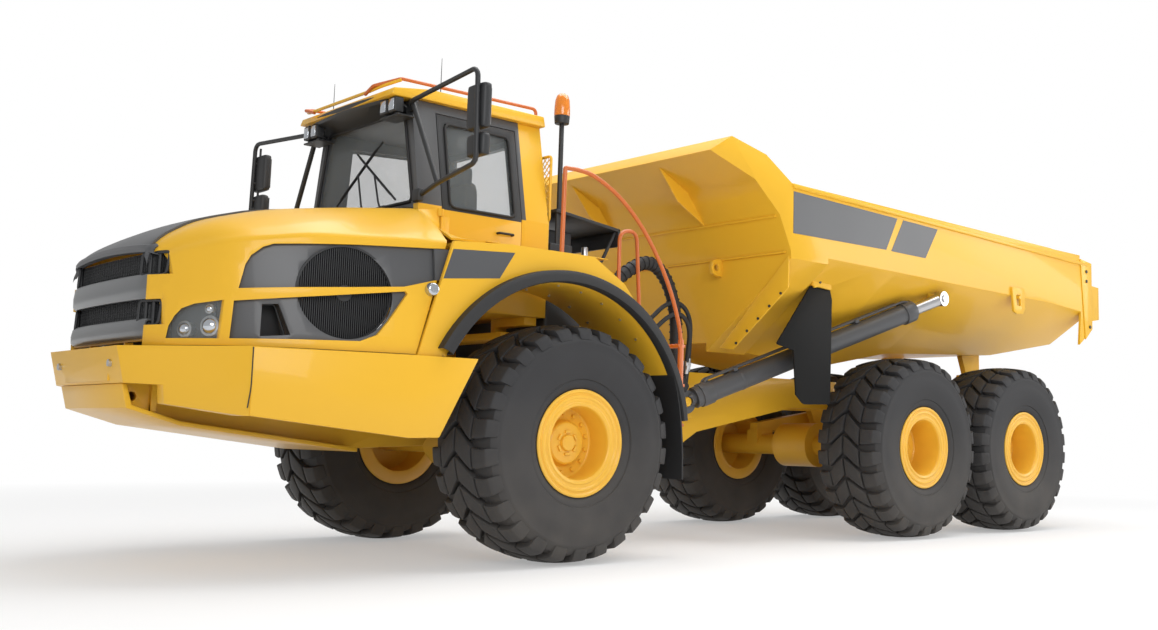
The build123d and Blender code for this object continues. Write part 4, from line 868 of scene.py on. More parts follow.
class HAULER_OT_hood(bpy.types.Operator):
    """Smooth hood with its windows, screens and dark middle panel"""
    bl_idname = "hauler.hood"
    bl_label = "Hood"

    def execute(self, context):
        hood = hood_sheet("hood_skin", 0.0, HOOD_WALL)
        cut(hood, side_cutter("rear_cutter", HOOD_REAR, -2.0, 2.0))
        for name, places in (("upper", UPPER_WINDOW), ("lower", LOWER_WINDOW), ("lamp", LAMP_WINDOW),
                             ("upper_slot", UPPER_SLOT), ("lower_slot", LOWER_SLOT)):
            both_sides(hood, places, name)
        soften(hood, 0.004, 2, 40)
        lugs = []
        for sign in (1, -1):
            lug_plate = side_cutter(f"hood_lug_{sign}", ((2.94, 1.53), (2.94, 1.563), (2.885, 1.56),
                                                         (2.88, 1.525), (2.905, 1.515)),
                                    sign * 0.325, sign * 0.345)
            lugs.append(soften(lug_plate, 0.003, 1))
        tie = block("hood_tie", here(2.90, -0.66, 1.556), here(2.945, 0.66, 1.578))
        hood = joined([hood, *lugs, tie], "hood_skin")
        dress(hood, "hood", "yellow_paint", smooth=32)
        hood.data.materials.append(finish_of("dark_plastic"))
        for face in hood.data.polygons:
            middle = face.center - here(0, 0, 0)
            if middle.x > 2.6 and abs(middle.y) < 0.66 and 1.95 < middle.z and face.normal.z < 0.35:
                face.material_index = 1
        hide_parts("hood_shell")

        # Dark middle panel, wide at the nose
        centre = hood_sheet("hood_middle", 0.014, 0.022)
        edge = [(3.05, 0.80), (2.95, 0.70), (2.90, 0.672), (2.80, 0.640), (2.60, 0.575), (2.35, 0.50),
                (2.10, 0.45), (1.60, 0.40), (1.168, 0.385)]
        ring = [here(x, y, 2.02) for x, y in edge] + [here(x, -y, 2.02) for x, y in reversed(edge)]
        kept(centre, plate("middle_keeper", ring, (0, 0, 0.9)))
        soften(centre, 0.006, 3, 40)
        lip_low = [here(x, y, z) for x, y, z in (
            (2.925, 0.735, 2.128), (2.962, 0.66, 2.142), (2.985, 0.35, 2.158), (2.99, 0.0, 2.165),
            (2.985, -0.35, 2.158), (2.962, -0.66, 2.142), (2.925, -0.735, 2.128))]
        lip_rows = [threaded([place + Vector(shift) for place in lip_low], 5) for shift in (
            (-0.05, 0, 0.07), (-0.004, 0, 0.055), (0.012, 0, 0.028), (0.006, 0, 0.004), (-0.03, 0, 0.0))]
        lip = skin("hood_lip", lip_rows)
        add_modifier(lip, "SOLIDIFY", thickness=0.008, offset=-1)
        middle = joined([centre, lip], "hood_middle")
        dress(middle, "hood", "grey_paint", smooth=40)
        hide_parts("hood_centre")

        # Dark flank panels with a round ribbed screen
        flanks = ((2.63, 1.548), (2.62, 1.86), (2.60, 2.10), (2.46, 2.24), (2.0, 2.275), (1.10, 2.33),
                  (1.36, 1.72), (1.60, 1.56))
        flank = hood_patch("flank_panel", -HOOD_WALL - 0.001, 0.012, flanks)
        fan_x, fan_z, fan_radius = FAN
        for sign in (1, -1):
            cut(flank, rod("fan_cutter", here(fan_x, sign * 1.2, fan_z), here(fan_x, sign * 1.7, fan_z),
                           fan_radius, 72))
            cut(flank, side_cutter("vent_cutter", VENT, sign * 1.0, sign * 1.7))
            cut(flank, side_cutter("rear_cutter", HOOD_REAR, -2.0, 2.0))
        soften(flank, 0.003, 2, 40)
        dress(flank, "hood", "grey_paint", smooth=32)
        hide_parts("side_grilles")
        ribs = 44
        back = 1.425
        rib_parts = [rod("screen_back", here(fan_x, back - 0.03, fan_z), here(fan_x, back - 0.022, fan_z),
                         fan_radius + 0.02, 64)]
        for number in range(ribs):
            offset = (number + 0.5 - ribs / 2) * 2 * fan_radius / ribs
            half = math.sqrt(fan_radius ** 2 - offset ** 2)
            rib_parts.append(block(f"rib_{number}", here(fan_x + offset - 0.0028, back - 0.03, fan_z - half),
                                   here(fan_x + offset + 0.0028, back, fan_z + half)))
        hub = rod("screen_hub", here(fan_x, back - 0.03, fan_z), here(fan_x, back + 0.008, fan_z), 0.07, 32,
                  0.055)
        rib_parts.append(soften(hub, 0.006, 2))
        ring = spun("screen_ring", [(-0.03, fan_radius - 0.004), (-0.03, fan_radius + 0.016),
                                    (0.01, fan_radius + 0.016), (0.01, fan_radius + 0.002)],
                    tuple(here(fan_x, back, fan_z)), 72)
        flat = joined([*rib_parts, ring], "screen_flat")
        tilt = math.radians(-9.5)
        left = moved(flat, "screen_left", turn=tilt, axis="Z", about=here(fan_x, back, fan_z))
        right = mirrored(left, "screen_right")
        bpy.data.objects.remove(flat, do_unlink=True)
        vents = []
        for sign in (1, -1):
            vents.append(side_cutter(f"vent_back_{sign}", ((2.47, 1.84), (2.29, 1.85), (2.22, 1.57),
                                                           (2.47, 1.56)), sign * 1.17, sign * 1.18))
            vent_ring = [here(x, sign * (1.255 + (2.35 - x) * 0.40), z) for x, z in (
                (2.431, 1.808), (2.328, 1.814), (2.256, 1.606), (2.437, 1.590))]
            vents.append(tube(f"vent_ring_{sign}", vent_ring, 0.007, 0.02, closed=True))
        dress(joined([left, right, *vents], "flank_screens"), "hood", "dark_plastic", smooth=30)
        decal = hood_patch("flank_blank", -0.002, 0.02, DECAL_PANEL)
        dress(decal, "hood", "grey_paint")
        return {"FINISHED"}


# Bars across the nose: low z, high z, how far the middle stands out
NOSE_BARS = ((1.842, 1.988, 0.030), (1.578, 1.690, 0.018))


class HAULER_OT_grille(bpy.types.Operator):
    """Front mesh, silver bars and corner slots"""
    bl_idname = "hauler.grille"
    bl_label = "Grille"

    def execute(self, context):
        plan = ((2.86, 0.80), (2.925, 0.70), (2.948, 0.62), (2.960, 0.35), (2.963, 0.0), (2.960, -0.35),
                (2.948, -0.62), (2.925, -0.70), (2.86, -0.80))
        line = threaded([here(x, y, 0) for x, y in plan], 8)
        rows = [[place + Vector((-0.03, 0, z)) for place in line] for z in
                [1.56 + 0.0245 * number for number in range(25)]]
        mesh = skin("nose_mesh", rows)
        add_modifier(mesh, "WIREFRAME", thickness=0.006, use_even_offset=False)
        back_rows = [[place + Vector((-0.05, 0, z)) for place in line] for z in (1.555, 1.75, 1.95, 2.15)]
        back = skin("nose_back", back_rows)
        add_modifier(back, "SOLIDIFY", thickness=0.012, offset=0)
        nose = joined([mesh, back], "nose_mesh")
        dress(nose, "hood", "dark_plastic", smooth=30)
        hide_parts("front_grille")
        bars = []
        for number, (low, high, out) in enumerate(NOSE_BARS):
            bar_line = threaded([here(x + out * (1 - (y / 0.8) ** 2) * 0.6 + 0.008, y, 0)
                                 for x, y in plan[1:-1]], 6)
            shape = ((-0.025, low), (-0.004, low), (0.006, low + 0.012), (0.008, (low + high) / 2),
                     (0.0, high - 0.012), (-0.010, high), (-0.030, high))
            rows = [[place + Vector((shift, 0, z)) for place in bar_line] for shift, z in shape]
            bar = skin(f"nose_bar_{number}", rows)
            add_modifier(bar, "SOLIDIFY", thickness=0.012, offset=-1)
            bars.append(bar)
        dress(joined(bars, "nose_bars"), "hood", "grey_paint", "silver_paint", smooth=40)
        frames = []
        for sign in (1, -1):
            for low, high, far_x, far_y in ((1.990, 2.152, 2.862, 0.815), (1.655, 1.828, 2.882, 0.785)):
                ring = path((2.962, sign * 0.615, low + 0.004), (far_x + 0.01, sign * far_y, low + 0.004),
                            (far_x, sign * (far_y + 0.018), high - 0.006),
                            (2.955, sign * 0.615, high - 0.006))
                frames.append(tube(f"slot_frame_{sign}_{low}", ring, 0.011, 0.03, closed=True))
                for share in (0.28, 0.62):
                    x = 2.962 + (far_x - 2.962) * share
                    y = sign * (0.615 + (far_y - 0.615) * share)
                    frames.append(rod(f"slot_post_{sign}_{low}_{share}", here(x - 0.01, y, low),
                                      here(x - 0.01, y, high), 0.012, 12))
        dress(joined(frames, "nose_frames"), "hood", "dark_plastic", smooth=40)
        return {"FINISHED"}


def lamp_box(name, low, high):
    """A square lamp that faces forwards: dark housing and a pale lens."""
    housing = soften(block(f"{name}_housing", low, high), 0.012, 3)
    inset = Vector((0, 0.014, 0.014))
    lens_low = low + inset
    lens_high = high - inset
    lens_low.x = high.x - 0.006
    lens_high.x = high.x + 0.006
    lens = soften(block(f"{name}_lens", lens_low, lens_high), 0.005, 2)
    return housing, lens


def cushion(name, low, high, levels=3):
    """A crowned cushion between two corners."""
    piece = block(name, low, high)
    soften(piece, 0.03, 1, 30)
    return rounder(piece, levels)


# Work lamps: middle across
WORK_LAMPS = (-0.70, -0.575, 0.575, 0.70)


class HAULER_OT_lamps(bpy.types.Operator):
    """Head lamps, marker lamps and work lamps"""
    bl_idname = "hauler.lamps"
    bl_label = "Lamps"

    def execute(self, context):
        window = ((2.90, 1.560), (2.885, 1.70), (2.83, 1.79), (2.77, 1.81), (2.62, 1.835), (2.63, 1.56))
        housing = hood_patch("lamp_housing", -0.085, 0.012, window, 0.55)
        dress(housing, "hood", "dark_plastic", "grey_paint", smooth=35)
        cover = hood_patch("lamp_cover", -0.020, 0.004, window, 0.55)
        dress(cover, "hood", "window_glass", smooth=35)
        out = Vector((0.852, 0.523, 0))
        shells = []
        lenses = []
        # lamp: place, radius, depth
        for name, place, radius, depth in (("outer", (2.772, 0.925, 1.632), 0.056, 0.075),
                                           ("inner", (2.675, 1.085, 1.652), 0.070, 0.085),
                                           ("upper", (2.678, 1.075, 1.765), 0.034, 0.04)):
            middle = here(*place)
            shell = rod(f"{name}_shell", middle - out * depth * 0.9, middle + out * 0.006, radius * 0.75, 40,
                        radius)
            shells.append(soften(shell, 0.004, 2))
            bpy.ops.object.select_all(action="DESELECT")
            bpy.ops.mesh.primitive_uv_sphere_add(segments=32, ring_count=16, radius=radius * 0.86,
                                                 location=middle - out * radius * 0.30)
            lenses.append(settle(context.object, f"{name}_lens"))
        shells = joined(shells, "head_shells_left")
        twin = mirrored(shells, "head_shells_right")
        lamps = joined([shells, twin], "head_shells")
        dress(lamps, "hood", "steel", smooth=35)
        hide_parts("headlamps")
        lens = joined(lenses, "head_lenses_left")
        dress(joined([lens, mirrored(lens, "head_lenses_right")], "head_lenses"), "hood", "lamp_glass",
              smooth=40)

        marks = []
        for sign in (1, -1):
            mark = rod(f"marker_{sign}", here(1.335, sign * 1.575, 1.987), here(1.335, sign * 1.632, 1.987),
                       0.052, 40, 0.044)
            marks.append(soften(mark, 0.014, 4))
        dress(joined(marks, "marker_lamps"), "front_unit", "lamp_glass", smooth=50)

        housings = []
        lenses = []
        for number, y in enumerate(WORK_LAMPS):
            housing, lens = lamp_box(f"work_lamp_{number}", here(1.135, y - 0.052, 3.455),
                                     here(1.215, y + 0.052, 3.575))
            housings.append(housing)
            lenses.append(lens)
        for sign in (1, -1):
            shelf = block(f"lamp_shelf_{sign}", here(1.05, sign * 0.50, 3.425),
                          here(1.20, sign * 0.775, 3.440))
            housings.append(soften(shelf, 0.004, 1))
            for y in (0.56, 0.71):
                foot = block(f"lamp_foot_{sign}_{y}", here(1.16, sign * y - 0.018, 3.43),
                             here(1.185, sign * y + 0.018, 3.47))
                housings.append(soften(foot, 0.003, 1))
        body = joined(housings, "work_lamp_housings")
        dress(body, "front_unit", "dark_plastic", smooth=35)
        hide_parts("work_lights")
        dress(joined(lenses, "work_lamp_lenses"), "front_unit", "lamp_glass", smooth=35)
        return {"FINISHED"}


# The cab shell is grey ahead of this place along and above this height, the door above its own
GREY_FROM_X = 0.02
GREY_FROM_Z = 2.745
DOOR_GREY_FROM_Z = 2.722
# Cab side: half width up to the waist, height of the waist
CAB_HALF = 0.87
CAB_WAIST_Z = 2.75
# Sun visor across the windscreen: along, up, half width
VISOR_LINES = ((1.262, 3.612, 0.52), (1.22, 3.566, 0.60), (1.12, 3.540, 0.68), (1.052, 3.50, 0.70))
# Wiper blades: across and up at the upper end, across and up at the lower end
WIPERS = ((-0.07, 3.26, 0.57, 2.80), (0.33, 3.30, -0.37, 2.86))
# Fairing between hood and cab side: x, places across and up
COWL_LINES = (
    (1.150, ((0.885, 2.655), (1.080, 2.590), (1.320, 2.480), (1.520, 2.380))),
    (1.080, ((0.882, 2.675), (1.030, 2.590), (1.270, 2.475), (1.530, 2.382))),
    (0.960, ((0.880, 2.700), (0.935, 2.590), (1.150, 2.462), (1.530, 2.388))),
    (0.860, ((0.878, 2.730), (0.885, 2.600), (0.960, 2.488), (1.530, 2.394))),
)
# Seals of the windscreen and of the right window: places round the opening
CAB_SEALS = (
    ((1.046, -0.79, 2.765), (1.046, -0.615, 3.498), (1.046, 0.615, 3.498), (1.046, 0.79, 2.765)),
    ((0.065, -0.872, 2.765), (0.065, -0.725, 3.475), (0.785, -0.735, 3.435), (0.755, -0.872, 2.765)),
)


class HAULER_OT_cab(bpy.types.Operator):
    """Cab pillars, seals, cowl, visor, wipers and seat"""
    bl_idname = "hauler.cab"
    bl_label = "Cab"

    def execute(self, context):
        shell = bpy.data.objects["cab_shell_panel"]
        only(shell)
        bpy.ops.object.mode_set(mode="EDIT")
        for place, normal in ((here(GREY_FROM_X, 0, 0), (1, 0, 0)),
                              (here(0, 0, GREY_FROM_Z), (0, 0, 1))):
            bpy.ops.mesh.select_all(action="SELECT")
            bpy.ops.mesh.bisect(plane_co=place, plane_no=normal)
        bpy.ops.object.mode_set(mode="OBJECT")
        shell.data.materials.append(finish_of("grey_paint"))
        for face in shell.data.polygons:
            inside = abs(face.center.y) < 0.80 - max(face.center.z - CAB_WAIST_Z, 0) * 0.2 - 0.02
            front = face.center.x > FRONT_AXLE_X + GREY_FROM_X and face.center.z > GREY_FROM_Z
            face.material_index = 1 if front or inside and face.center.z > 2.0 else 0
        door = bpy.data.objects["door_frame_panel"]
        cut(door, block("door_foot_cutter", here(-0.2, 0.5, 2.30), here(1.0, 1.2, 2.505)))
        only(door)
        bpy.ops.object.mode_set(mode="EDIT")
        bpy.ops.mesh.select_all(action="SELECT")
        bpy.ops.mesh.bisect(plane_co=here(0, 0, DOOR_GREY_FROM_Z), plane_no=(0, 0, 1))
        bpy.ops.object.mode_set(mode="OBJECT")
        door.data.materials.append(finish_of("yellow_paint"))
        for face in door.data.polygons:
            face.material_index = 1 if face.center.z < DOOR_GREY_FROM_Z else 0

        seals = [tube(f"seal_{number}", [here(*place) for place in places], 0.013, 0.05, closed=True)
                 for number, places in enumerate(CAB_SEALS)]
        door_ring = [here(x, cab_side(z) + 0.004, z) for x, z in (
            (0.135, 2.75), (0.135, 3.445), (0.755, 3.445), (0.755, 2.75))]
        dress(joined(seals, "cab_seals"), "front_unit", "black_rubber", smooth=50)
        door_seal = tube("door_seal", door_ring, 0.011, 0.05, closed=True)
        handle = tube("door_handle", path((0.16, 0.868, 2.60), (0.16, 0.905, 2.60), (0.30, 0.905, 2.60),
                                          (0.30, 0.868, 2.60)), 0.010, 0.015)
        dress(joined([door_seal, handle], "door_trim"), "door", "black_rubber", smooth=50)

        cowl_plan = [(1.02, -0.80), (1.145, -0.79), (1.17, -0.55), (1.178, 0.0), (1.17, 0.55), (1.145, 0.79),
                     (1.02, 0.80)]
        cowl = plate("cowl", [here(x, y, 2.600) for x, y in cowl_plan], (0, 0, 0.115))
        soften(cowl, 0.012, 3)
        dress(cowl, "front_unit", "dark_plastic", smooth=35)
        covers = []
        for sign in (1, -1):
            rows = [[here(x, sign * y, z) for y, z in line] for x, line in COWL_LINES]
            fairing = smooth_skin(f"fairing_{sign}", rows, 4, 3)
            add_modifier(fairing, "SOLIDIFY", thickness=0.016, offset=0)
            covers.append(fairing)
            shelf = plate(f"fender_shelf_{sign}", [here(-0.30, sign * y, z) for y, z in (
                (0.905, 2.390), (0.905, 2.490), (0.96, 2.486), (1.56, 2.396), (1.56, 2.390))],
                          (1.16, 0, 0))
            covers.append(soften(shelf, 0.006, 2))
            covers.append(block(f"door_sill_{sign}", here(0.062, sign * 0.815, 2.413),
                                here(0.828, sign * 0.866, 2.500)))
        dress(joined(covers, "cab_fairing"), "front_unit", "yellow_paint", smooth=40)

        visor_rows = []
        for x, z, half in VISOR_LINES:
            visor_rows.append([here(x - 0.03 * (share ** 2), half * share, z) for share in
                               (-1, -0.6, -0.2, 0.2, 0.6, 1)])
        visor = skin("visor", visor_rows)
        add_modifier(visor, "SOLIDIFY", thickness=0.018, offset=0)
        soften(visor, 0.005, 2)
        dress(visor, "front_unit", "dark_plastic", smooth=40)

        wipers = []
        for number, (y, z, low_y, low_z) in enumerate(WIPERS):
            foot = here(1.062, (y + low_y) / 2 + 0.1, 2.74)
            elbow = here(1.085, (y + low_y) / 2 + 0.09, 2.80)
            middle = here(1.078, (y + low_y) / 2, (z + low_z) / 2)
            wipers.append(tube(f"wiper_arm_{number}", [foot, elbow, middle], 0.008, 0.02))
            wipers.append(rod(f"wiper_blade_{number}", here(1.066, y, z), here(1.066, low_y, low_z),
                              0.009, 10))
            wipers.append(rod(f"wiper_spine_{number}",
                              here(1.078, y * 0.9 + low_y * 0.1, z * 0.9 + low_z * 0.1),
                              here(1.078, y * 0.1 + low_y * 0.9, z * 0.1 + low_z * 0.9), 0.005, 8))
        dress(joined(wipers, "wipers"), "front_unit", "dark_plastic", smooth=40)

        base = cushion("seat_base", here(0.13, -0.26, 2.36), here(0.64, 0.26, 2.52))
        back = cushion("seat_back", here(0.06, -0.25, 2.44), here(0.22, 0.25, 3.12))
        head = cushion("seat_head", here(0.05, -0.14, 3.12), here(0.17, 0.14, 3.30))
        for pad in (base, back, head):
            dress(pad, "front_unit", "black_rubber", smooth=60)
        dash_rows = []
        for x, z in ((0.98, 2.02), (0.81, 2.20), (0.775, 2.60), (0.80, 2.69), (0.86, 2.75), (0.94, 2.775),
                     (0.975, 2.74)):
            dash_rows.append([here(x + 0.05 * share ** 2, 0.68 * share, z - 0.05 * share ** 2)
                              for share in (-1, -0.66, -0.33, 0, 0.33, 0.66, 1)])
        dash = skin("dash", dash_rows)
        rounder(dash, 2)
        add_modifier(dash, "SOLIDIFY", thickness=0.02, offset=0)
        inside = [dash, soften(block("seat_box", here(0.18, -0.22, 2.01), here(0.58, 0.22, 2.37)), 0.02, 2),
                  soften(block("side_console", here(0.10, -0.46, 2.01), here(0.62, -0.30, 2.58)), 0.03, 3),
                  tube("column", path((0.86, 0, 2.40), (0.70, 0, 2.70)), 0.03)]
        bpy.ops.object.select_all(action="DESELECT")
        bpy.ops.mesh.primitive_torus_add(major_radius=0.20, minor_radius=0.016, major_segments=48,
                                         minor_segments=12, location=here(0.69, 0, 2.73),
                                         rotation=(0, math.radians(-32), 0))
        inside.append(settle(context.object, "steering_rim"))
        for turn in (0.4, 2.5, 4.7):
            tip = Vector((math.cos(turn) * 0.19 * math.cos(math.radians(32)), math.sin(turn) * 0.19,
                          math.cos(turn) * 0.19 * math.sin(math.radians(32))))
            inside.append(rod(f"spoke_{turn}", here(0.69, 0, 2.72), here(0.69, 0, 2.73) + tip, 0.012, 10))
        fittings = joined(inside, "cab_fittings")
        dress(fittings, "front_unit", "dark_plastic", "grey_paint", smooth=40)
        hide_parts("cab_interior")
        return {"FINISHED"}


# Where the beacon's mast and the exhaust stand: along, across
MAST = (-0.37, 0.80)
STACK = (-0.42, -0.70)
# Aerials and their feet: radius, sides, tip radius, then name, along, across, foot and top
AERIALS = (
    (0.0045, 8, 0.002, (("aerial_near", 0.72, 0.60, 3.68, 4.02), ("aerial_far", 1.03, -0.60, 3.66, 3.97))),
    (0.018, 16, 0.008, (("aerial_foot_near", 0.72, 0.60, 3.685, 3.725),
                        ("aerial_foot_far", 1.03, -0.60, 3.665, 3.71))),
)


def cab_side(z):
    """How far out the cab's side stands at a height."""
    return CAB_HALF if z < CAB_WAIST_Z else CAB_HALF - 0.17 * (z - CAB_WAIST_Z) / 0.85


class HAULER_OT_roof(bpy.types.Operator):
    """Mirrors, aerials, beacon and visor rail"""
    bl_idname = "hauler.roof"
    bl_label = "Roof and mirrors"

    def execute(self, context):
        arms = []
        arms.append(tube("mirror_arm", path((1.04, 0.70, 3.535), (1.10, 0.78, 3.545), (1.165, 1.80, 3.60),
                                            (1.165, 1.825, 2.90), (1.10, 1.25, 2.845),
                                            (1.03, 0.865, 2.80)), 0.019, 0.07))
        arms.append(tube("mirror_brace", path((1.075, 0.79, 3.53), (1.06, 1.16, 2.855)), 0.021))
        arms.append(tube("mirror_stay", path((1.13, 1.765, 3.56), (1.13, 1.775, 2.92)), 0.010))
        for z in (3.42, 3.24, 3.08, 3.0):
            arms.append(rod(f"mirror_clamp_{z}", here(1.12, 1.77, z), here(1.17, 1.82, z), 0.012, 12))
        for z, y in ((3.535, 0.72), (2.80, 0.865)):
            arms.append(soften(block(f"mirror_foot_{z}", here(1.02, y - 0.05, z - 0.05),
                                     here(1.07, y + 0.05, z + 0.05)), 0.01, 2))
        left = joined(arms, "mirror_frame_left")
        right = mirrored(left, "mirror_frame_right")
        frames = joined([left, right], "mirror_frames")
        dress(frames, "front_unit", "dark_plastic", smooth=45)
        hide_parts("mirrors")
        heads = []
        for sign in (1, -1):
            for low, high, near, far in ((3.155, 3.495, 1.635, 1.868), (2.955, 3.125, 1.650, 1.870)):
                head = block(f"mirror_head_{sign}_{low}", here(1.068, sign * near, low),
                             here(1.152, sign * far, high))
                soften(head, 0.028, 2, 30)
                heads.append(rounder(head, 2))
        dress(joined(heads, "mirror_heads"), "front_unit", "dark_plastic", smooth=60)
        glasses = [block(f"mirror_glass_{sign}_{low}", here(1.063, sign * 1.665, low),
                         here(1.070, sign * 1.84, high))
                   for sign in (1, -1) for low, high in ((3.19, 3.46), (2.98, 3.10))]
        dress(joined([soften(glass, 0.002, 1) for glass in glasses], "mirror_glasses"), "front_unit", "steel",
              smooth=30)

        aerials = [rod(name, here(x, y, low), here(x, y, high), radius, sides, tip)
                   for radius, sides, tip, pair in AERIALS for name, x, y, low, high in pair]
        dress(joined(aerials, "aerials"), "front_unit", "dark_plastic", smooth=45)

        mast = [rod(name, here(*MAST, low), here(*MAST, high), *size) for name, low, high, size in (
            ("mast", 2.48, 3.66, (0.021, 20)), ("mast_foot", 2.48, 2.52, (0.05, 24)),
            ("beacon_base", 3.65, 3.72, (0.062, 32, 0.068)))]
        pole = joined([soften(piece, 0.004, 2) for piece in mast], "mast")
        dress(pole, "front_unit", "dark_plastic", smooth=45)
        dome = spun_up("beacon_dome", ((3.72, 0.066), (3.735, 0.069), (3.80, 0.067), (3.86, 0.062),
                                       (3.90, 0.048), (3.917, 0.026), (3.92, 0.0)), here(*MAST, 0))
        dress(dome, "front_unit", "beacon_amber", smooth=60)
        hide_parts("beacon_mast")

        front_rail = tube("visor_rail", path((1.16, -0.735, 3.715), (1.262, -0.60, 3.665),
                                             (1.285, -0.50, 3.645), (1.285, 0.50, 3.645),
                                             (1.262, 0.60, 3.665), (1.16, 0.735, 3.715)), 0.013, 0.05)
        dress(front_rail, "front_unit", "yellow_paint", smooth=50)
        return {"FINISHED"}


def spun_up(name, profile, centre, steps=40):
    """A turned shape about an upright axis; the profile gives heights and radii."""
    rows = []
    for z, radius in profile:
        rows.append([(centre[0] + max(radius, 0.0005) * math.cos(turn * math.tau / steps),
                      centre[1] + max(radius, 0.0005) * math.sin(turn * math.tau / steps), z)
                     for turn in range(steps + 1)])
    piece = skin(name, rows)
    only(piece)
    bpy.ops.object.mode_set(mode="EDIT")
    bpy.ops.mesh.select_all(action="SELECT")
    bpy.ops.mesh.remove_doubles(threshold=0.0004)
    bpy.ops.mesh.normals_make_consistent(inside=False)
    bpy.ops.object.mode_set(mode="OBJECT")
    return piece


def bolts_at(name, places, direction, radius=0.014, height=0.012):
    """Hexagon bolt heads, standing out along a direction."""
    direction = Vector(direction).normalized()
    heads = [rod(f"{name}_{number}", Vector(place) - direction * 0.004, Vector(place) + direction * height,
                 radius, 6) for number, place in enumerate(places)]
    return joined(heads, name)


def mesh_guard(name, corners, columns, rows, wire):
    """A flat panel of expanded mesh between four corners."""
    a, b, c, d = (Vector(corner) for corner in corners)
    lines = []
    for row in range(rows + 1):
        t = row / rows
        lines.append([(a.lerp(d, t)).lerp(b.lerp(c, t), column / columns) for column in range(columns + 1)])
    panel = skin(name, lines)
    only(panel)
    bpy.ops.object.mode_set(mode="EDIT")
    bpy.ops.mesh.select_all(action="SELECT")
    bpy.ops.mesh.poke()
    bpy.ops.mesh.tris_convert_to_quads(face_threshold=math.pi, shape_threshold=math.pi)
    bpy.ops.object.mode_set(mode="OBJECT")
    return add_modifier(panel, "WIREFRAME", thickness=wire, use_even_offset=False)


# Wheel arch seen from the side: middle along and up, radius of the rubber edge
ARCH_X = 0.16
ARCH_Z = 0.95
ARCH_EDGE = 1.206


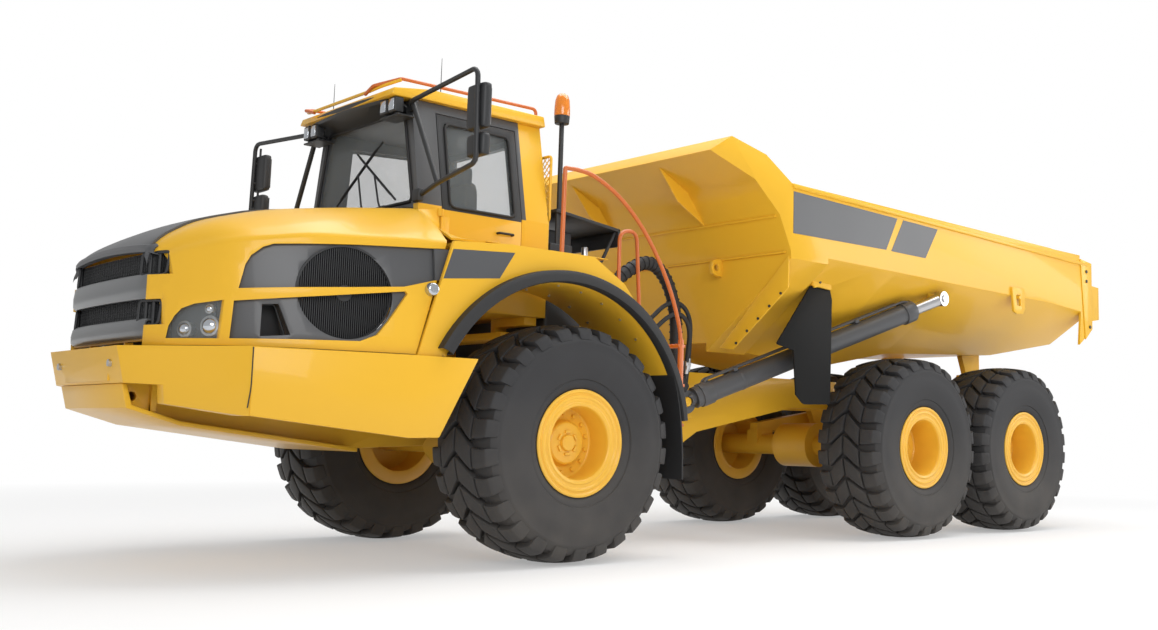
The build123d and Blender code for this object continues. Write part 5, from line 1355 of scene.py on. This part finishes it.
class HAULER_OT_deck(bpy.types.Operator):
    """Gear behind the cab, exhaust, ladder and rails, arch edges and fender panels"""
    bl_idname = "hauler.deck"
    bl_label = "Deck"

    def execute(self, context):
        dark = [soften(block("tank", here(-0.615, -0.845, 1.405), here(-0.222, 0.845, 2.47)), 0.03, 4),
                soften(block("valve_block", here(-0.66, 0.30, 2.18), here(-0.50, 0.80, 2.42)), 0.015, 3),
                soften(block("deck_box", here(-0.60, 0.10, 2.47), here(-0.30, 0.70, 2.74)), 0.02, 3),
                soften(rod("filter_a", here(-0.72, 0.62, 2.12), here(-0.72, 0.62, 2.56), 0.055, 28), 0.01, 3),
                soften(rod("filter_b", here(-0.72, 0.40, 2.14), here(-0.72, 0.40, 2.60), 0.055, 28), 0.01, 3),
                soften(rod("filter_c", here(-0.86, 0.50, 2.20), here(-0.86, 0.50, 2.50), 0.07, 32), 0.012, 3),
                soften(block("pump_block", here(-0.80, 0.60, 2.30), here(-0.58, 0.84, 2.46)), 0.012, 3),
                soften(block("pump_box", here(-0.50, 0.62, 2.47), here(-0.26, 0.84, 2.60)), 0.012, 3),
                soften(plate("deck_plate", path((-0.30, 0.02, 2.865), (-0.30, 0.86, 2.865),
                                                (-1.01, 0.86, 2.78), (-1.01, 0.02, 2.78)),
                             (0, 0, 0.03)), 0.006, 2),
                soften(plate("deck_plate_edge", path((-1.015, 0.02, 2.65), (-1.015, 0.86, 2.65),
                                                     (-1.015, 0.86, 2.81), (-1.015, 0.02, 2.81)),
                             (0.025, 0, 0)), 0.005, 2)]
        for number, y in enumerate((0.12, 0.30, 0.48, 0.66, 0.80)):
            dark.append(tube(f"deck_pipe_{number}", path((-0.62, y, 2.16), (-0.70, y, 2.12),
                                                         (-0.74, y - 0.03, 2.0), (-0.70, y - 0.05, 1.66),
                                                         (-0.61, y - 0.05, 1.60)), 0.016, 0.06))
        for y in (0.06, 0.82):
            dark.append(tube(f"plate_post_{y}", path((-0.99, y, 2.79), (-0.84, y, 2.50),
                                                     (-0.60, y, 2.44)), 0.016, 0.03))
            dark.append(rod(f"plate_leg_{y}", here(-0.34, y, 2.46), here(-0.34, y, 2.87), 0.016, 16))
        deck = joined(dark, "deck_gear")
        dress(deck, "front_unit", "dark_plastic", smooth=40)
        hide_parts("rear_deck")
        silver = [rod("accumulator", here(-0.71, 0.745, 2.45), here(-0.71, 0.745, 2.62), 0.030, 28),
                  rod("accumulator_foot", here(-0.71, 0.745, 2.44), here(-0.71, 0.745, 2.47), 0.036, 6),
                  rod("union_a", here(-0.66, 0.50, 2.42), here(-0.66, 0.50, 2.48), 0.022, 6),
                  rod("union_b", here(-0.66, 0.34, 2.42), here(-0.66, 0.34, 2.48), 0.022, 6)]
        dress(joined([soften(piece, 0.004, 2) for piece in silver], "deck_fittings"), "front_unit", "steel",
              smooth=35)
        corners = path((-0.24, 0.84, 2.78), (-0.24, 0.44, 2.78), (-0.24, 0.44, 3.34), (-0.24, 0.84, 3.34))
        guard = mesh_guard("deck_guard", corners, 7, 10, 0.012)
        frame_ring = tube("guard_frame", corners, 0.012, 0.03, closed=True)
        feet = [rod(f"guard_foot_{y}", here(-0.24, y, 2.46), here(-0.24, y, 2.80), 0.012, 12)
                for y in (0.46, 0.82)]
        dress(joined([guard, frame_ring, *feet], "deck_guard"), "front_unit", "yellow_paint", smooth=30)

        stack = [rod("stack", here(*STACK, 2.48), here(*STACK, 3.22), 0.078, 40),
                 rod("stack_foot", here(*STACK, 2.48), here(*STACK, 2.57), 0.108, 40, 0.095),
                 tube("stack_tip", path((-0.42, -0.70, 3.16), (-0.42, -0.70, 3.26), (-0.46, -0.70, 3.33)),
                      0.058, 0.03, 6),
                 rod("stack_band", here(*STACK, 2.98), here(*STACK, 3.01), 0.082, 40)]
        stack = joined([soften(piece, 0.005, 2) for piece in stack], "stack")
        dress(stack, "front_unit", "dark_plastic", smooth=45)
        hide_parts("exhaust_stack")

        rail = tube("rail_small", path((-0.72, 1.20, 2.03), (-0.72, 1.20, 2.72), (-0.91, 1.20, 2.74),
                                       (-0.98, 1.20, 1.80)), 0.017, 0.08)
        steps = [rail]
        for y in (1.10, 1.60):
            steps.append(soften(block(f"ladder_side_{y}", here(-1.108, y - 0.014, 0.702),
                                      here(-1.062, y + 0.014, 1.80)), 0.004, 2))
        for number in range(4):
            z = 0.742 + 0.33 * number
            steps.append(soften(block(f"ladder_step_{number}", here(-1.128, 1.087, z),
                                      here(-1.047, 1.613, z + 0.026)), 0.004, 2))
            for tooth in range(9):
                y = 1.13 + 0.055 * tooth
                steps.append(block(f"step_tooth_{number}_{tooth}", here(-1.122, y - 0.008, z + 0.024),
                                   here(-1.053, y + 0.008, z + 0.032)))
        arc = threaded([here(x, 1.60, z) for x, z in (
            (-1.086, 1.76), (-1.055, 1.93), (-0.955, 2.19), (-0.80, 2.46), (-0.60, 2.71), (-0.36, 2.91),
            (-0.10, 3.035), (0.08, 3.06))], 5)
        steps.append(tube("hand_rail", [*arc, here(0.195, 1.60, 3.055), here(0.202, 1.60, 2.387)], 0.0175,
                          0.045, 4))
        ladder = joined(steps, "ladder_and_rails")
        dress(ladder, "front_unit", "orange_paint", smooth=50)
        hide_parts("access_ladder")

        # Rubber arch edge and the flap behind the front wheel
        edges = []
        for sign in (1, -1):
            rows = []
            for step in range(49):
                turn = math.radians(29 + 143 * step / 48)
                spread = 1.0 if step < 34 else 1.0 - 0.35 * (step - 34) / 14
                section = ((1.202, 1.632), (1.200, 1.700), (ARCH_EDGE, 1.715),
                           (ARCH_EDGE + 0.05 * spread, 1.716), (ARCH_EDGE + 0.078 * spread, 1.700),
                           (ARCH_EDGE + 0.082 * spread, 1.632))
                rows.append([here(ARCH_X + radius * math.cos(turn), sign * y,
                                  ARCH_Z + radius * math.sin(turn)) for radius, y in section])
            edge = skin(f"arch_edge_{sign}", rows)
            edges.append(outwards(add_modifier(edge, "SOLIDIFY", thickness=0.008, offset=0)))
            flap_rows = [[here(x, sign * y, z) for y in (1.02, 1.25, 1.50, 1.705)] for x, z in (
                (-0.915, 1.50), (-0.985, 1.25), (-1.025, 0.95), (-1.035, 0.64))]
            flap = smooth_skin(f"wheel_flap_{sign}", flap_rows, 3, 2)
            edges.append(outwards(add_modifier(flap, "SOLIDIFY", thickness=0.014, offset=0)))
        edge = joined(edges, "arch_edges")
        dress(edge, "front_unit", "black_rubber", smooth=45)
        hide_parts("fender_flares")
        places = []
        for step in range(9):
            turn = math.radians(48 + 11 * step)
            for y in (1.04, 1.46):
                places.append((turn, y))
        heads = [bolts_at(f"arch_bolt_{number}", [here(ARCH_X + 1.198 * math.cos(turn), sign * y,
                                                       ARCH_Z + 1.198 * math.sin(turn))],
                          (-math.cos(turn), 0, -math.sin(turn)), 0.012, 0.008)
                 for number, (turn, y) in enumerate(places) for sign in (1, -1)]
        dress(joined(heads, "arch_bolts"), "front_unit", "steel", smooth=30)

        fender_blank = [plate(f"fender_blank_{sign}", [here(x, sign * 1.6302, z) for x, z in (
            (1.195, 2.290), (0.66, 2.325), (0.79, 2.120), (1.268, 2.070))], (0, sign * 0.002, 0))
            for sign in (1, -1)]
        dress(joined(fender_blank, "fender_blanks"), "front_unit", "grey_paint", smooth=30)
        return {"FINISHED"}


# Hoses across the pivot: radius, line of places
HOSES = (
    (0.058, ((-0.645, 0.84, 2.20), (-0.86, 0.86, 2.24), (-1.10, 0.88, 2.46), (-1.34, 0.90, 2.57),
             (-1.56, 0.90, 2.42), (-1.68, 0.90, 2.10), (-1.69, 0.89, 1.78), (-1.74, 0.84, 1.55),
             (-1.885, 0.80, 1.44))),
    (0.021, ((-0.64, 0.78, 2.05), (-1.00, 0.82, 1.92), (-1.32, 0.88, 1.98), (-1.52, 0.92, 2.19),
             (-1.70, 0.93, 2.22), (-1.84, 0.93, 2.08), (-1.885, 0.87, 1.80), (-1.90, 0.83, 1.60),
             (-1.905, 0.80, 1.43))),
    (0.021, ((-0.64, 0.70, 1.92), (-1.00, 0.80, 1.80), (-1.32, 0.90, 1.86), (-1.50, 0.96, 2.06),
             (-1.66, 0.98, 2.12), (-1.79, 0.98, 1.98), (-1.83, 0.90, 1.72), (-1.85, 0.86, 1.54),
             (-1.90, 0.80, 1.41))),
)


def hose(name, places, radius):
    """A hose on a smooth spline, with the points it follows."""
    curve = bpy.data.curves.new(name, "CURVE")
    curve.dimensions = "3D"
    curve.resolution_u = 8
    spline = curve.splines.new("NURBS")
    spline.points.add(len(places) - 1)
    for point, place in zip(spline.points, places):
        point.co = (*here(*place), 1)
    spline.order_u = 3
    spline.use_endpoint_u = True
    piece = bpy.data.objects.new(name, curve)
    bpy.context.collection.objects.link(piece)
    bpy.context.view_layer.update()
    line_mesh = bpy.data.meshes.new_from_object(piece)
    line = [vertex.co.copy() for vertex in line_mesh.vertices]
    bpy.data.meshes.remove(line_mesh)
    curve.bevel_depth = radius
    curve.bevel_resolution = 4
    curve.use_fill_caps = True
    only(piece)
    bpy.ops.object.convert(target="MESH")
    return bpy.context.object, line


class HAULER_OT_hoses(bpy.types.Operator):
    """Corrugated duct, pressure hoses and the pivot lock"""
    bl_idname = "hauler.hoses"
    bl_label = "Hoses"

    def execute(self, context):
        for number, (radius, places) in enumerate(HOSES):
            run, line = hose(f"hose_{number}", places, radius)
            pieces = [run]
            if number == 0:
                for step in range(3, len(line) - 3, 2):
                    ahead = (line[step + 1] - line[step - 1]).normalized()
                    pieces.append(rod(f"rib_{step}", line[step] - ahead * 0.007, line[step] + ahead * 0.007,
                                      radius + 0.006, 20))
            run = joined(pieces, f"hose_{number}")
            only(run)
            bpy.ops.object.shade_smooth_by_angle(angle=math.radians(40))
            run.data.materials.append(finish_of("black_rubber"))
            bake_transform(run)
        ends = []
        for number, (low, high) in enumerate((((-1.899, 0.832, 1.600), (-1.890, 0.850, 1.715)),
                                              ((-1.848, 0.866, 1.570), (-1.836, 0.886, 1.685)))):
            ends.append(rod(f"union_{number}", here(*low), here(*high), 0.027, 20))
            middle = (here(*low) + here(*high)) / 2
            ahead = (here(*high) - here(*low)).normalized() * 0.018
            ends.append(rod(f"nut_{number}", middle - ahead, middle + ahead, 0.034, 6))
        dress(joined(ends, "hose_ends"), "hitch_body", "steel", smooth=40)
        links = [soften(side_cutter("pivot_lock", ((-1.10, 1.05), (-1.12, 1.01), (-1.16, 1.0), (-1.20, 1.03),
                                                   (-1.19, 1.07), (-1.14, 1.09)), 0.60, 0.63), 0.005, 2)]
        dress(joined(links, "pivot_lock"), "front_unit", "orange_paint", smooth=35)
        return {"FINISHED"}


# Blank grey panels on the body's side: along and up
BODY_BLANKS = (
    ((-2.395, 3.262), (-3.985, 3.226), (-3.80, 2.885), (-2.395, 2.870)),
    ((-4.085, 3.224), (-4.69, 3.210), (-4.47, 2.878), (-3.885, 2.882)),
)
# Rib below the spill guard: along and up
GUSSET = ((-2.262, 3.02), (-2.01, 3.325), (-1.64, 3.505), (-1.88, 3.22))


class HAULER_OT_body(bpy.types.Operator):
    """Ribs, straps, eyes, blank panels and flaps of the dump body"""
    bl_idname = "hauler.body"
    bl_label = "Dump body"

    def execute(self, context):
        steel_work = []
        for number, y in enumerate((-0.67, 0.65)):
            steel_work.append(soften(side_cutter(f"gusset_{number}", GUSSET, y, y + 0.02), 0.003, 1))
        fold = side_cutter("fold_lip", ((-2.374, 2.690), (-2.350, 2.686), (-2.350, 2.700), (-2.368, 2.712)),
                           -1.62, 1.62)
        seam = side_cutter("guard_seam", ((-2.262, 3.012), (-2.240, 3.006), (-2.236, 3.020), (-2.250, 3.036)),
                           -1.60, 1.60)
        steel_work += [soften(fold, 0.003, 2), soften(seam, 0.003, 2)]
        for sign in (1, -1):
            foot_places = ((-2.372, 2.53), (-2.372, 2.70), (-2.30, 2.70), (-2.24, 2.675), (-2.225, 2.615),
                           (-2.245, 2.555), (-2.30, 2.53))
            eye = side_cutter(f"lift_eye_{sign}", foot_places, sign * 0.760, sign * 0.802)
            hole = rod("eye_hole", here(-2.293, sign * 0.781 - 0.1, 2.615),
                       here(-2.293, sign * 0.781 + 0.1, 2.615), 0.032, 24)
            steel_work.append(soften(cut(eye, hole), 0.008, 3))
            # Sloping strap from the knee to the floor
            strap = plate(f"strap_{sign}", [here(-2.366, sign * y, z) for y, z in (
                (1.672, 2.66), (1.672, 2.36), (0.98, 1.82), (0.80, 1.84))], (0.016, 0, 0))
            steel_work.append(soften(strap, 0.005, 2))
            latch = side_cutter(f"latch_{sign}", ((-6.11, 2.74), (-6.14, 2.47), (-6.20, 2.44), (-6.34, 2.45),
                                                  (-6.39, 2.52), (-6.37, 2.74)), sign * 1.684, sign * 1.712)
            slot = side_cutter("latch_slot", ((-6.20, 2.66), (-6.21, 2.54), (-6.29, 2.54), (-6.28, 2.66)),
                               sign * 1.60, sign * 1.80)
            steel_work.append(soften(cut(latch, slot), 0.005, 2))
            hook = rod(f"latch_pin_{sign}", here(-6.24, sign * 1.70, 2.63),
                       here(-6.24, sign * 1.735, 2.63), 0.02)
            steel_work.append(hook)
            post = side_cutter(f"tail_face_{sign}", ((-7.70, 3.245), (-7.97, 3.215), (-7.97, 2.40),
                                                     (-7.80, 2.26), (-7.76, 2.66)),
                               sign * 1.686, sign * 1.700)
            steel_work.append(soften(post, 0.004, 2))
            rail = side_cutter(f"top_rail_{sign}", ((-2.38, 3.335), (-2.38, 3.29), (-7.90, 3.165),
                                                    (-7.90, 3.21)), sign * 1.640, sign * 1.704)
            steel_work.append(soften(rail, 0.012, 3))
            flap_plate = side_cutter(f"flap_plate_{sign}", ((-2.90, 2.62), (-3.25, 2.66), (-3.26, 2.50),
                                                            (-2.99, 2.44)), sign * 1.425, sign * 1.450)
            steel_work.append(soften(flap_plate, 0.004, 2))
        work = joined(steel_work, "body_steel_work")
        dress(work, "dump_bed", "yellow_paint", smooth=35)

        heads = []
        for sign in (1, -1):
            along = [here(-2.35, sign * (0.97 + 0.70 * share), 1.835 + 0.545 * share)
                     for share in (0.08, 0.28, 0.48, 0.68, 0.88)]
            heads.append(bolts_at(f"strap_bolts_{sign}", along, (1, 0, 0), 0.013, 0.012))
            heads.append(bolts_at(f"tail_bolts_{sign}", [here(-7.83, sign * 1.70, z) for z in (3.10, 2.98)]
                                  + [here(-7.90, sign * 1.70, 2.42)], (0, sign, 0), 0.02, 0.012))
            heads.append(bolts_at(f"flap_bolts_{sign}", [here(x, sign * 1.45, z) for x, z in (
                (-3.02, 2.58), (-3.12, 2.60), (-3.20, 2.62), (-3.06, 2.50), (-3.20, 2.53))],
                                  (0, sign, 0), 0.014, 0.012))
        dress(joined(heads, "body_bolts"), "dump_bed", "dark_plastic", smooth=30)

        blanks = []
        for sign in (1, -1):
            for number, places in enumerate(BODY_BLANKS):
                panel = side_cutter(f"blank_{sign}_{number}", places, sign * 1.6865, sign * 1.6895)
                blanks.append(panel)
        dress(joined(blanks, "body_blanks"), "dump_bed", "grey_paint", smooth=30)

        flaps = []
        for sign in (1, -1):
            flap = side_cutter(f"body_flap_{sign}", ((-2.96, 2.455), (-3.24, 2.50), (-3.288, 2.35),
                                                     (-3.272, 1.335), (-3.23, 1.325), (-2.90, 1.315),
                                                     (-2.865, 1.325), (-2.765, 1.405), (-2.728, 1.82),
                                                     (-2.50, 1.862), (-2.49, 1.875)),
                               sign * 1.400, sign * 1.418)
            flaps.append(soften(flap, 0.005, 2))
        flap = joined(flaps, "body_flaps")
        dress(flap, "dump_bed", "black_rubber", "flap_rubber", smooth=35)
        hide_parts("body_mudflaps")
        return {"FINISHED"}


# Hoist pins at rest: along, across, up
HOIST_FOOT = (-1.944, 0.750, 1.312)
HOIST_EYE = (-4.840, 1.625, 2.490)
# Collars on the barrel: name, start and end along the hoist from its foot, radius
COLLARS = (
    ("collar_low", 0.17, 0.30, 0.113),
    ("collar_mid", 0.62, 0.66, 0.1035),
    ("collar_mid_b", 1.60, 1.63, 0.1035),
    ("collar_end", 2.70, 2.83, 0.115),
    ("collar_cap", 2.825, 2.85, 0.098),
)


class HAULER_OT_hoists(bpy.types.Operator):
    """Hoist collars, pipes and clamps"""
    bl_idname = "hauler.hoists"
    bl_label = "Hoists"

    def execute(self, context):
        foot = here(*HOIST_FOOT)
        eye = here(*HOIST_EYE)
        line = (eye - foot).normalized()
        across = line.cross(Vector((0, 0, 1))).normalized()
        above = across.cross(line).normalized()
        collars = [rod(name, foot + line * start, foot + line * end, radius, 48)
                   for name, start, end, radius in COLLARS]
        collars = [soften(piece, 0.006, 2) for piece in collars]
        for shift in (-0.035, 0.035):
            side = across * shift
            collars.append(tube(f"pipe_{shift}", [foot + line * 0.24 + above * 0.09 + side,
                                                  foot + line * 0.27 + above * 0.128 + side,
                                                  foot + line * 1.3 + above * 0.128 + side,
                                                  foot + line * (2.70 + shift) + above * 0.128 + side,
                                                  foot + line * (2.76 + shift) + above * 0.10 + side],
                                0.0115, 0.03, 4))
        for place in (0.60, 1.35, 2.10):
            clamp = block("clamp", (-0.025, -0.06, 0), (0.025, 0.06, 0.035))
            clamp.matrix_world = (Matrix.Translation(foot + line * place + above * 0.098)
                                  @ Matrix((line, across, above)).transposed().to_4x4())
            settle(clamp, f"clamp_{place}")
            collars.append(soften(clamp, 0.004, 1))
        left = joined(collars, "hoist_dress_left")
        right = mirrored(left, "hoist_dress_right")
        dress(left, "barrel_left", "dark_plastic", "grey_paint", smooth=40)
        dress(right, "barrel_right", "dark_plastic", "grey_paint", smooth=40)
        return {"FINISHED"}


class HAULER_OT_nose(bpy.types.Operator):
    """Panel seams, bumper pins and tail lamps"""
    bl_idname = "hauler.nose"
    bl_label = "Seams and tail lamps"

    def execute(self, context):
        gaps = []
        for sign in (1, -1):
            gaps.append(tube(f"hood_seal_{sign}", [here(x, sign * y, 1.5115) for x, y in (
                (2.86, 0.80), (2.60, 1.235), (2.35, 1.395), (2.10, 1.49), (1.60, 1.60), (1.46, 1.63))],
                             0.005, 0.05))
            gaps.append(tube(f"skirt_seam_{sign}", path((2.536, sign * 1.452, 1.510),
                                                        (2.536, sign * 1.452, 1.25),
                                                        (2.55, sign * 1.446, 1.12)), 0.004, 0.04))
        dress(joined(gaps, "panel_seams"), "front_unit", "black_rubber", smooth=40)
        heads = []
        for sign in (1, -1):
            heads.append(rod(f"bumper_pin_{sign}", here(3.03, sign * 0.50, 1.405),
                             here(3.093, sign * 0.50, 1.405), 0.024, 28))
        dress(joined(heads, "bumper_pins"), "front_unit", "steel", smooth=30)
        lamps = []
        for sign in (1, -1):
            low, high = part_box("tail_lamps")
            for number, shift in enumerate((0.03, 0.12, 0.21)):
                y = sign * (high.y - 0.04 - shift)
                lamp = rod(f"tail_{sign}_{number}", (low.x + 0.02, y, (low.z + high.z) / 2),
                           (low.x - 0.012, y, (low.z + high.z) / 2), 0.036, 28, 0.031)
                lamps.append(soften(lamp, 0.006, 2))
        dress(joined(lamps, "tail_lenses"), "rear_unit", "beacon_amber", smooth=45)
        return {"FINISHED"}


STEPS = (
    "stage", "finishes", "tyres", "rims", "panels", "hood", "grille", "lamps", "cab", "roof", "deck",
    "hoses", "body", "hoists", "nose",
)
OPERATORS = (HAULER_OT_stage, HAULER_OT_finishes, HAULER_OT_tyres, HAULER_OT_rims, HAULER_OT_panels,
             HAULER_OT_hood, HAULER_OT_grille, HAULER_OT_lamps, HAULER_OT_cab, HAULER_OT_roof,
             HAULER_OT_deck, HAULER_OT_hoses, HAULER_OT_body, HAULER_OT_hoists, HAULER_OT_nose)


class HAULER_PT_panel(bpy.types.Panel):
    """Settings and building steps of the truck"""
    bl_label = "Hauler"
    bl_idname = "HAULER_PT_panel"
    bl_space_type = "VIEW_3D"
    bl_region_type = "UI"
    bl_category = "Hauler"

    def draw(self, context):
        for name in stage_values().bl_rna.properties.keys()[1:]:
            self.layout.prop(stage_values(), name)
        for name in paint_values().bl_rna.properties.keys()[1:]:
            self.layout.prop(paint_values(), name)
        for step in STEPS:
            self.layout.operator(f"hauler.{step}")


CLASSES = (HaulerStageSettings, HaulerPaintSettings, *OPERATORS, HAULER_PT_panel)


def register():
    for one in CLASSES:
        bpy.utils.register_class(one)
    bpy.types.Scene.hauler_stage = bpy.props.PointerProperty(type=HaulerStageSettings)
    bpy.types.Scene.hauler_paint = bpy.props.PointerProperty(type=HaulerPaintSettings)


def unregister():
    del bpy.types.Scene.hauler_paint
    del bpy.types.Scene.hauler_stage
    for one in reversed(CLASSES):
        bpy.utils.unregister_class(one)


def main():
    register()
    for step in STEPS:
        getattr(bpy.ops.hauler, step)()


if __name__ == "__main__":
    main()
